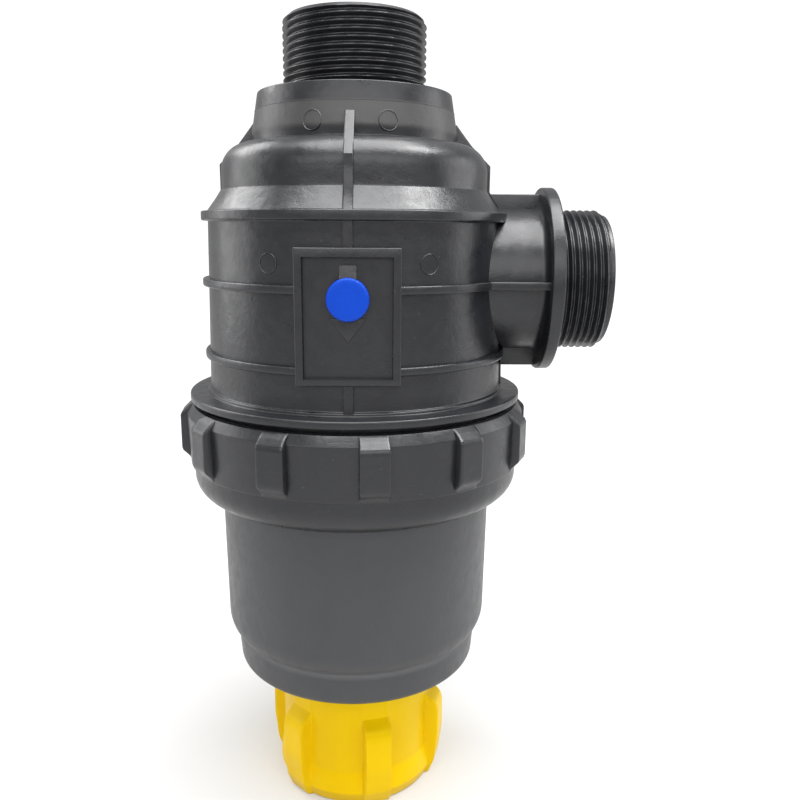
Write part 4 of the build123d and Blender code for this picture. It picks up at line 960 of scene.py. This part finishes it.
def ribbed_cap():
    """The cap as one closed grid. Its outside is a radius over angle and height: the wall's radius, raised to the rib's
    radius by a smooth step across the angle at each rib, so that the ribs run out into the wall with a hollow. The
    rib's radius is a chain of straight slopes over the height."""
    ribs, rib_half, run = 6, 5.3, 0.9
    crown_drop, crown_run = 0.35, 1.4
    first = np.radians(-74.0)
    pitch = TAU / ribs
    half_cell = np.concatenate([
        np.linspace(0, 0.13, 6)[:-1], np.linspace(0.13, 0.24, 16)[:-1], np.linspace(0.24, pitch / 2, 10)[:-1],
    ])
    cell = np.concatenate([half_cell, [pitch / 2], pitch - half_cell[:0:-1]])
    from_rib, angle = spread_cells(cell, pitch, ribs, first)
    foot_r, belly_r, waist_r, wall_r, bore_r = 28.6, 30.2, 29.4, 28.4, 24.4
    plug_r, plug_bore_r, socket_r, socket_bore_r = 17.7, 14.5, 10.0, 7.0
    floor_z, plug_top_z, socket_top_z, socket_floor_z = 5.0, 24.0, 14.0, 7.0
    foot_and_wall = [
        (AXIS_R, 0, 0), (foot_r, 0, 1.2), (belly_r, 4.5, 2.4), (waist_r, 9.0, 1.2), (wall_r, 12.0, 1.5),
        (wall_r, CAP_TOP_Z, 0.8), (bore_r, CAP_TOP_Z, 0.6), (bore_r, floor_z, 0.5),
    ]
    plug_and_socket = [
        (plug_r, floor_z, 0.5), (plug_r, plug_top_z, 0.6), (plug_bore_r, plug_top_z, 0.6), (plug_bore_r, floor_z, 0.5),
        (socket_r, floor_z, 0.5), (socket_r, socket_top_z, 0.4), (socket_bore_r, socket_top_z, 0.3),
        (socket_bore_r, socket_floor_z, 0), (AXIS_R, socket_floor_z, 0),
    ]
    outline = densified(outline_from(foot_and_wall + plug_and_socket, 6), 1.2)
    order = np.cumsum(np.hypot(*np.diff(outline, axis=0, prepend=outline[:1]).T))
    top_at = order[np.argmax(outline[:, 1])]
    r, z = outline[None, :, 0], outline[None, :, 1]
    outside = (order <= top_at) & (outline[:, 0] > (wall_r + bore_r) / 2)
    rib_levels = [0.0, 0.6, 5.5, 16.0, 27.0, 29.6, 31.3, 33.0]
    rib_radii = [29.0, 29.9, 31.9, 33.2, 33.2, 32.6, 31.3, 28.3]
    rib_r = np.interp(z, rib_levels, rib_radii)
    reach = rib_r * np.abs(np.sin(from_rib))
    across = smooth_step(np.clip((rib_half + run * 0.6 - reach) / (run * 1.4), 0, 1))
    lift = np.maximum(rib_r / np.cos(from_rib) - r, 0) * across
    crown = crown_drop * np.clip((reach - rib_half + crown_run) / crown_run, 0, 1) ** 2 * across
    radius = np.where(outside, r + np.maximum(lift - crown, 0), r)
    points, faces = round_z(radius, angle, z), grid_faces(len(angle), len(outline))
    cap = piece_from("ribbed_cap", points, faces, cap_plastic, "cap")
    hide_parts("valve_cap")


ribbed_cap()


# Spring

def spring_coil():
    """A round wire carried along a helix. Its height rises evenly between the flat parts of a turn at both ends, and
    its section turns with the radius."""
    turns, flat_turns, mean_r, wire_r = 4.0, 0.6, 20.4, 0.7
    steps, wire_points = 320, 12
    low, high = POPPET_TOP_Z + wire_r, CHAMBER_TOP_Z - wire_r
    share = np.linspace(0, 1, steps)[:, None]
    rise = np.clip((share * turns - flat_turns) / (turns - 2 * flat_turns), 0, 1)
    height = low + (high - low) * rise
    section = full_turn(wire_points).T
    points = round_z(mean_r + wire_r * np.cos(section), TAU * turns * share, height + wire_r * np.sin(section))
    coil = piece_from("spring_coil", points, bar_faces(steps, wire_points), spring_steel, None)
    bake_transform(coil)
    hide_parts("valve_spring")


spring_coil()


# Stage and light

def background_rays(tree, camera_share, mirror_share):
    """How much of a background's glow a ray sees: one share for camera and transmission rays, one for glossy rays."""
    rays = tree.nodes.new("ShaderNodeLightPath").outputs
    seen = math_node(tree, "MAXIMUM", rays["Is Camera Ray"], rays["Is Transmission Ray"])
    direct = math_node(tree, "MULTIPLY", seen, camera_share)
    return math_node(tree, "MULTIPLY_ADD", rays["Is Glossy Ray"], mirror_share, direct)


def floor_finish():
    """White paper that keeps the object's shadow. A glow that only camera, transmission and mirror rays see lifts it to
    white: weakly beside the object, where the shadow lies, and fully from 1.3 m on."""
    material, tree, shader, place = material_graph("stage_paper")
    shader.inputs["Base Color"].default_value = (0.5, 0.5, 0.5, 1)
    shader.inputs["Roughness"].default_value = 0.9
    shader.inputs["Specular IOR Level"].default_value = 0.1
    shader.inputs["Emission Color"].default_value = (1, 1, 1, 1)
    away = tree.nodes.new("ShaderNodeVectorMath")
    away.operation = "LENGTH"
    tree.links.new(place, away.inputs[0])
    lift = ranged(tree, away.outputs["Value"], 0.2, 1.0, 0.25, 1.3)
    glow = math_node(tree, "MULTIPLY", background_rays(tree, 1.0, 0.4), lift)
    tree.links.new(glow, shader.inputs["Emission Strength"])
    return material


paper_half, paper_z = 6000.0, -0.05
floor_corners = [
    (-paper_half, -paper_half, paper_z), (paper_half, -paper_half, paper_z), (paper_half, paper_half, paper_z),
    (-paper_half, paper_half, paper_z),
]
floor = piece_from("stage_floor", floor_corners, [(0, 1, 2, 3)], floor_finish(), None)

world = bpy.data.worlds.new("studio")
bpy.context.scene.world = world
world.use_nodes = True
world_tree = world.node_tree
background = world_tree.nodes["Background"]
world_glow = math_node(world_tree, "ADD", background_rays(world_tree, 0.8, 0.2), 0.28)
background.inputs["Color"].default_value = (1, 1, 1, 1)
world_tree.links.new(world_glow, background.inputs["Strength"])


def soft_lamp(name, place, target, size, power):
    """A flat studio lamp at a place, turned to face a target. Its size is its width and its height."""
    lamp_data = bpy.data.lights.new(name, "AREA")
    lamp_data.shape = "RECTANGLE"
    lamp_data.size, lamp_data.size_y = size
    lamp_data.energy = power
    lamp = bpy.data.objects.new(name, lamp_data)
    lamp.location = place
    direction = np.array(target) - np.array(place)
    flat = np.hypot(direction[0], direction[1])
    lamp.rotation_euler = (np.arctan2(flat, -direction[2]), 0, np.arctan2(direction[1], direction[0]) - np.pi / 2)
    bpy.context.scene.collection.objects.link(lamp)


# Name, place, target, size and power. The first two give the front and the top their light, the next two the bright
# spots on the shoulder, and the last two the light along both sides.
lamps = (
    ("lamp_front", (0.1, -0.9, 0.62), (0, 0, 0.2), (2.2, 0.5), 8.0),
    ("lamp_top", (0.05, -0.13, 1.0), (0, 0, 0.2), (0.9, 0.7), 15.5),
    ("lamp_top_right", (0.5, -0.05, 0.9), (0, 0, 0.2), (0.26, 0.26), 3.6),
    ("lamp_back_left", (-0.55, 0.33, 0.7), (0, 0, 0.2), (0.35, 0.35), 2.5),
    ("lamp_left", (-0.8, 0.15, 0.35), (0, 0, 0.13), (0.55, 0.55), 2.3),
    ("lamp_right", (0.8, 0.15, 0.35), (0, 0, 0.13), (0.55, 0.55), 2.0),
)
for lamp_row in lamps:
    soft_lamp(*lamp_row)

bpy.context.scene.view_settings.view_transform = "Standard"
